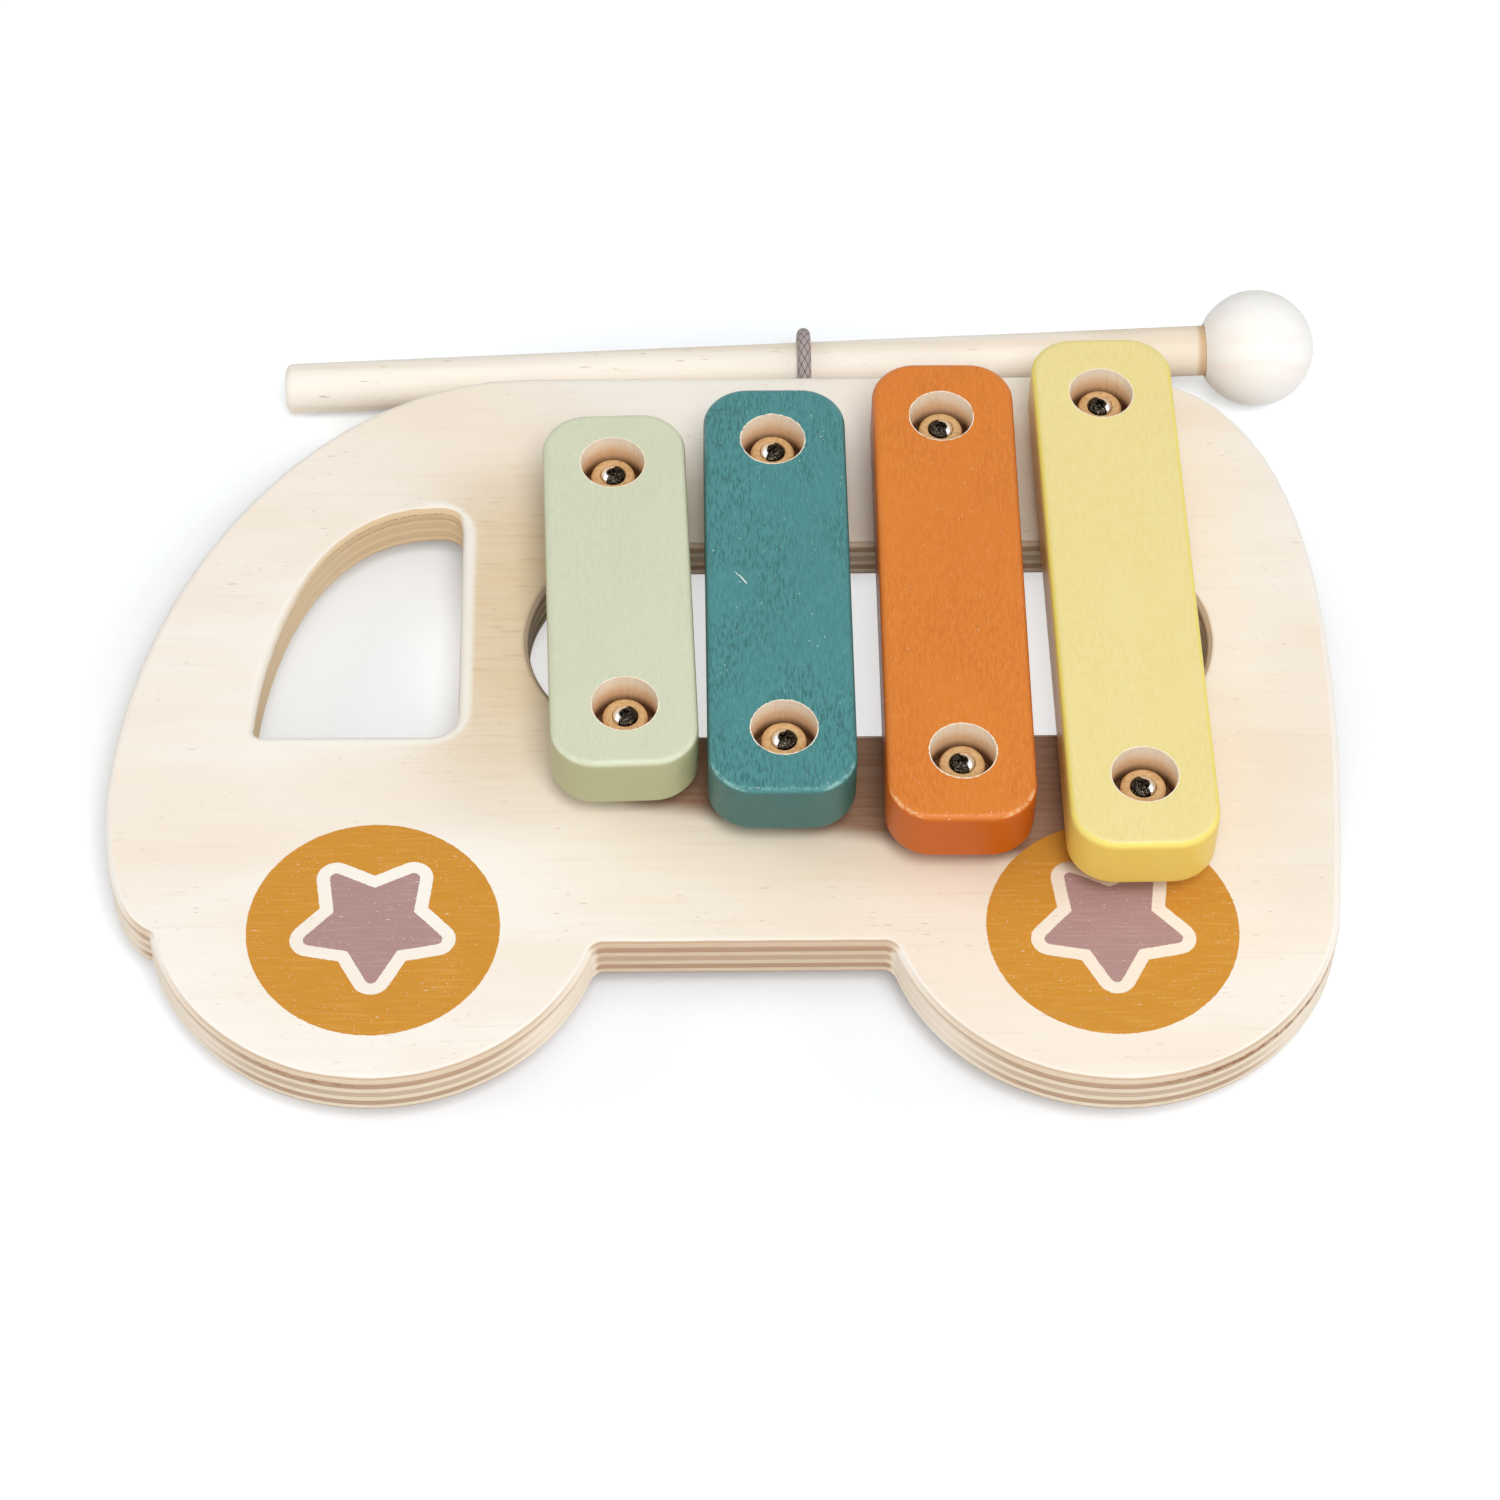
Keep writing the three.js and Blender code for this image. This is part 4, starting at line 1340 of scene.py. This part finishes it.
class XYLO_OT_loop(Operator):
    """Bend the braided elastic round the stick and into its hole"""

    bl_idname = "xylophone.loop"
    bl_label = "Elastic loop"

    def execute(self, context):
        loop = context.scene.xylophone.loop
        centre = loop_centre(loop)
        bend = loop.loop_radius + loop.bend_radius
        rise = loop.end_offset + loop.bend_radius
        back = math.sqrt(bend ** 2 - rise ** 2)
        lead = math.asin(rise / bend)
        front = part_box("elastic_loop")[0].y + 0.0002
        start = Vector((centre.x, front, centre.z + loop.end_offset))
        upper = Vector((centre.x, centre.y - back, centre.z + rise))
        lower = Vector((centre.x, centre.y - back, centre.z - rise))

        bm = bmesh.new()
        ring = bmesh.ops.create_circle(bm, segments=CORD_SIDES, radius=loop.cord_radius)["verts"]
        across = Matrix.Rotation(math.pi / 2, 3, "X")
        bmesh.ops.rotate(bm, verts=ring, cent=(0, 0, 0), matrix=across)
        bmesh.ops.translate(bm, verts=ring, vec=start)
        rings, edges = [list(ring)], list(bm.edges)
        edges = self.push(bm, edges, rings, upper.y - start.y, steps=6)
        edges = self.bend(bm, edges, rings, upper, math.pi / 2 - lead, steps=8)
        edges = self.bend(bm, edges, rings, centre, -(math.tau - 2 * lead), steps=72)
        edges = self.bend(bm, edges, rings, lower, math.pi / 2 - lead, steps=8)
        self.push(bm, edges, rings, start.y - lower.y, steps=6)
        for end in (rings[0], rings[-1]):
            bm.faces.new(end)
        self.unwrap(bm, rings)
        bmesh.ops.recalc_face_normals(bm, faces=bm.faces)
        piece = new_piece("braided_loop", mesh_from(bm, "loop"))
        settle(piece, braided_elastic(loop), "toy", "elastic", "elastic_loop")
        return {"FINISHED"}

    def push(self, bm, edges, rings, length, steps):
        """Lengthens the cord along Y."""
        for _ in range(steps):
            edges, verts = self.grow(bm, edges, rings)
            bmesh.ops.translate(bm, verts=verts, vec=(0, length / steps, 0))
        return edges

    def bend(self, bm, edges, rings, centre, turn, steps):
        """Lengthens the cord round a line along X."""
        matrix = Matrix.Rotation(turn / steps, 3, "X")
        for _ in range(steps):
            edges, verts = self.grow(bm, edges, rings)
            bmesh.ops.rotate(bm, verts=verts, cent=centre, matrix=matrix)
        return edges

    def grow(self, bm, edges, rings):
        """Adds a ring to the cord, still in the place of the last one."""
        made = bmesh.ops.extrude_edge_only(bm, edges=edges)["geom"]
        verts = [part for part in made if isinstance(part, bmesh.types.BMVert)]
        rings.append(self.in_order(verts))
        return [part for part in made if isinstance(part, bmesh.types.BMEdge)], verts

    def in_order(self, verts):
        """The vertices of a ring in the order of its edges."""
        ordered = [verts[0]]
        while len(ordered) < len(verts):
            near = [e.other_vert(ordered[-1]) for e in ordered[-1].link_edges]
            ordered.append(next(v for v in near if v in verts and v not in ordered))
        return ordered

    def unwrap(self, bm, rings):
        """U is the way along the cord in metres, and V goes once round it."""
        places = {}
        length, before = 0, None
        for ring in rings:
            middle = sum((v.co for v in ring), Vector()) / len(ring)
            if before is not None:
                length += (middle - before).length
            across = Vector((1, 0, 0))
            ahead = (middle - before).normalized() if before is not None else Vector((0, 1, 0))
            up = across.cross(ahead)
            before = middle
            for v in ring:
                arm = v.co - middle
                places[v] = (length, math.atan2(arm.dot(up), arm.dot(across)) / math.tau % 1)
        layer = bm.loops.layers.uv.new("cord")
        for face in bm.faces:
            turns = [places[corner.vert][1] for corner in face.loops]
            for corner, turn in zip(face.loops, turns):
                wrapped = turn + 1 if max(turns) - turn > 0.5 else turn
                corner[layer].uv = (places[corner.vert][0], wrapped)


# Each lamp's name, place, width and the property with its power
LAMPS = (
    ("key_lamp", (0.2, -0.85, 1.7), 0.9, "key_power"),
    ("nose_lamp", (-1.5, 0.1, 1.0), 0.8, "side_power"),
    ("tail_lamp", (1.5, 0.1, 1.0), 0.8, "side_power"),
    ("front_lamp", (0.1, -1.5, 1.0), 1.2, "front_power"),
)
CAMERA_PLACE = (-0.01678, -0.60578, 0.808)
SENSOR_WIDTH = 36


class XYLO_OT_stage(Operator):
    """Lay the floor, light it and aim the camera"""

    bl_idname = "xylophone.stage"
    bl_label = "Stage"

    def execute(self, context):
        scene, settings = context.scene, context.scene.xylophone
        stage = settings.stage
        scene.view_settings.view_transform = "Standard"
        self.floor(stage)
        self.world(scene, stage)
        for name, place, width, power in LAMPS:
            self.lamp(name, place, width, getattr(stage, power))
        camera = bpy.data.cameras.new("camera")
        camera.sensor_width = SENSOR_WIDTH
        camera.lens = stage.lens * MILLIMETRES
        holder = bpy.data.objects.new("camera", camera)
        scene.collection.objects.link(holder)
        tilt = Matrix.Rotation(math.pi / 2 - stage.pitch, 4, "X")
        aim = Matrix.Rotation(stage.turn, 4, "Z") @ tilt @ Matrix.Rotation(stage.roll, 4, "Z")
        holder.matrix_world = Matrix.Translation(CAMERA_PLACE) @ aim
        scene.camera = holder
        return {"FINISHED"}

    def floor(self, stage):
        """White paper that gives light back as it is, with a glow of its own for the camera."""
        bm = bmesh.new()
        bmesh.ops.create_grid(bm, x_segments=1, y_segments=1, size=stage.floor_size / 2)
        floor = new_piece("floor", mesh_from(bm, "floor"))
        material = bpy.data.materials.new("paper_floor")
        material.use_nodes = True
        tree = material.node_tree
        tree.nodes.clear()
        paper = tree.nodes.new("ShaderNodeBsdfDiffuse")
        paper.inputs["Color"].default_value = stage.floor
        shade = tree.nodes.new("ShaderNodeBsdfDiffuse")
        shade.inputs["Color"].default_value = stage.shade
        glow = tree.nodes.new("ShaderNodeEmission")
        plug(tree, self.glow(tree, stage), glow.inputs["Strength"])
        seen = tree.nodes.new("ShaderNodeAddShader")
        tree.links.new(shade.outputs[0], seen.inputs[0])
        tree.links.new(glow.outputs[0], seen.inputs[1])
        self.show(tree, "ShaderNodeOutputMaterial", paper, seen)
        floor.data.materials.append(material)

    def glow(self, tree, stage):
        """The floor's own light: least next to the toy, more in its slot and far away."""
        place = tree.nodes.new("ShaderNodeTexCoord")
        parts = tree.nodes.new("ShaderNodeSeparateXYZ")
        tree.links.new(place.outputs["Object"], parts.inputs[0])
        x, y = Field(parts.outputs[0]), Field(parts.outputs[1])
        reach = hypotenuse(x * 0.8, y)
        away, horizon = reach.rise(0.106, 0.138), reach.rise(0.35, 1.5)
        in_slot = hypotenuse((x - 0.030) * 0.45, y - 0.014).rise(0.050, 0.032)
        near_light = away * (stage.far_glow - stage.glow) + stage.glow + in_slot * stage.slot_glow
        return near_light + horizon * (stage.horizon_glow - stage.far_glow)

    def show(self, tree, output, lit, seen):
        """Gives the camera one shader and the light another."""
        out = tree.nodes.new(output)
        switch = tree.nodes.new("ShaderNodeMixShader")
        tree.links.new(self.seen_directly(tree).socket, switch.inputs[0])
        tree.links.new(lit.outputs[0], switch.inputs[1])
        tree.links.new(seen.outputs[0], switch.inputs[2])
        tree.links.new(switch.outputs[0], out.inputs[0])

    def seen_directly(self, tree):
        """1 for what the camera sees, also through glass or in a shiny surface."""
        path = tree.nodes.new("ShaderNodeLightPath")
        camera, glossy = Field(path.outputs["Is Camera Ray"]), Field(path.outputs["Is Glossy Ray"])
        return camera.most(glossy).most(Field(path.outputs["Is Transmission Ray"]))

    def world(self, scene, stage):
        world = bpy.data.worlds.new("studio")
        world.use_nodes = True
        scene.world = world
        tree = world.node_tree
        tree.nodes.clear()
        around = tree.nodes.new("ShaderNodeBackground")
        around.inputs["Strength"].default_value = stage.ambient
        around.inputs["Color"].default_value = (1, 1, 1, 1)
        white = tree.nodes.new("ShaderNodeBackground")
        white.inputs["Color"].default_value = (1, 1, 1, 1)
        self.show(tree, "ShaderNodeOutputWorld", around, white)

    def lamp(self, name, place, width, power):
        """A round soft lamp that points at the toy."""
        light = bpy.data.lights.new(name, "AREA")
        light.shape = "DISK"
        light.size = width
        light.energy = power
        lamp = bpy.data.objects.new(name, light)
        bpy.context.scene.collection.objects.link(lamp)
        lamp.location = place
        lamp.rotation_mode = "QUATERNION"
        lamp.rotation_quaternion = (-Vector(place)).to_track_quat("-Z", "Y")


class XylophoneProperties(PropertyGroup):
    board: PointerProperty(type=BoardProperties)
    prints: PointerProperty(type=PrintProperties)
    bars: PointerProperty(type=BarProperties)
    fittings: PointerProperty(type=FittingProperties)
    mallet: PointerProperty(type=MalletProperties)
    loop: PointerProperty(type=LoopProperties)
    stage: PointerProperty(type=StageProperties)


OPERATORS = (XYLO_OT_board, XYLO_OT_bars, XYLO_OT_rings, XYLO_OT_screws, XYLO_OT_feet,
             XYLO_OT_mallet, XYLO_OT_loop, XYLO_OT_stage)


class XYLO_PT_panel(Panel):
    """Lists the pieces of the xylophone"""

    bl_idname = "XYLO_PT_panel"
    bl_label = "Wooden bus xylophone"
    bl_space_type = "VIEW_3D"
    bl_region_type = "UI"
    bl_category = "Xylophone"

    def draw(self, context):
        for operator in OPERATORS:
            self.layout.operator(operator.bl_idname)


CLASSES = (BoardProperties, PrintProperties, BarProperties, FittingProperties, MalletProperties,
           LoopProperties, StageProperties, XylophoneProperties, *OPERATORS, XYLO_PT_panel)


def register():
    for each in CLASSES:
        bpy.utils.register_class(each)
    bpy.types.Scene.xylophone = PointerProperty(type=XylophoneProperties)


def unregister():
    del bpy.types.Scene.xylophone
    for each in reversed(CLASSES):
        bpy.utils.unregister_class(each)


def main():
    register()
    bpy.ops.xylophone.stage()
    bpy.ops.xylophone.board()
    bpy.ops.xylophone.bars()
    bpy.ops.xylophone.rings()
    bpy.ops.xylophone.screws()
    bpy.ops.xylophone.feet()
    bpy.ops.xylophone.mallet()
    bpy.ops.xylophone.loop()


if __name__ == "__main__":
    main()
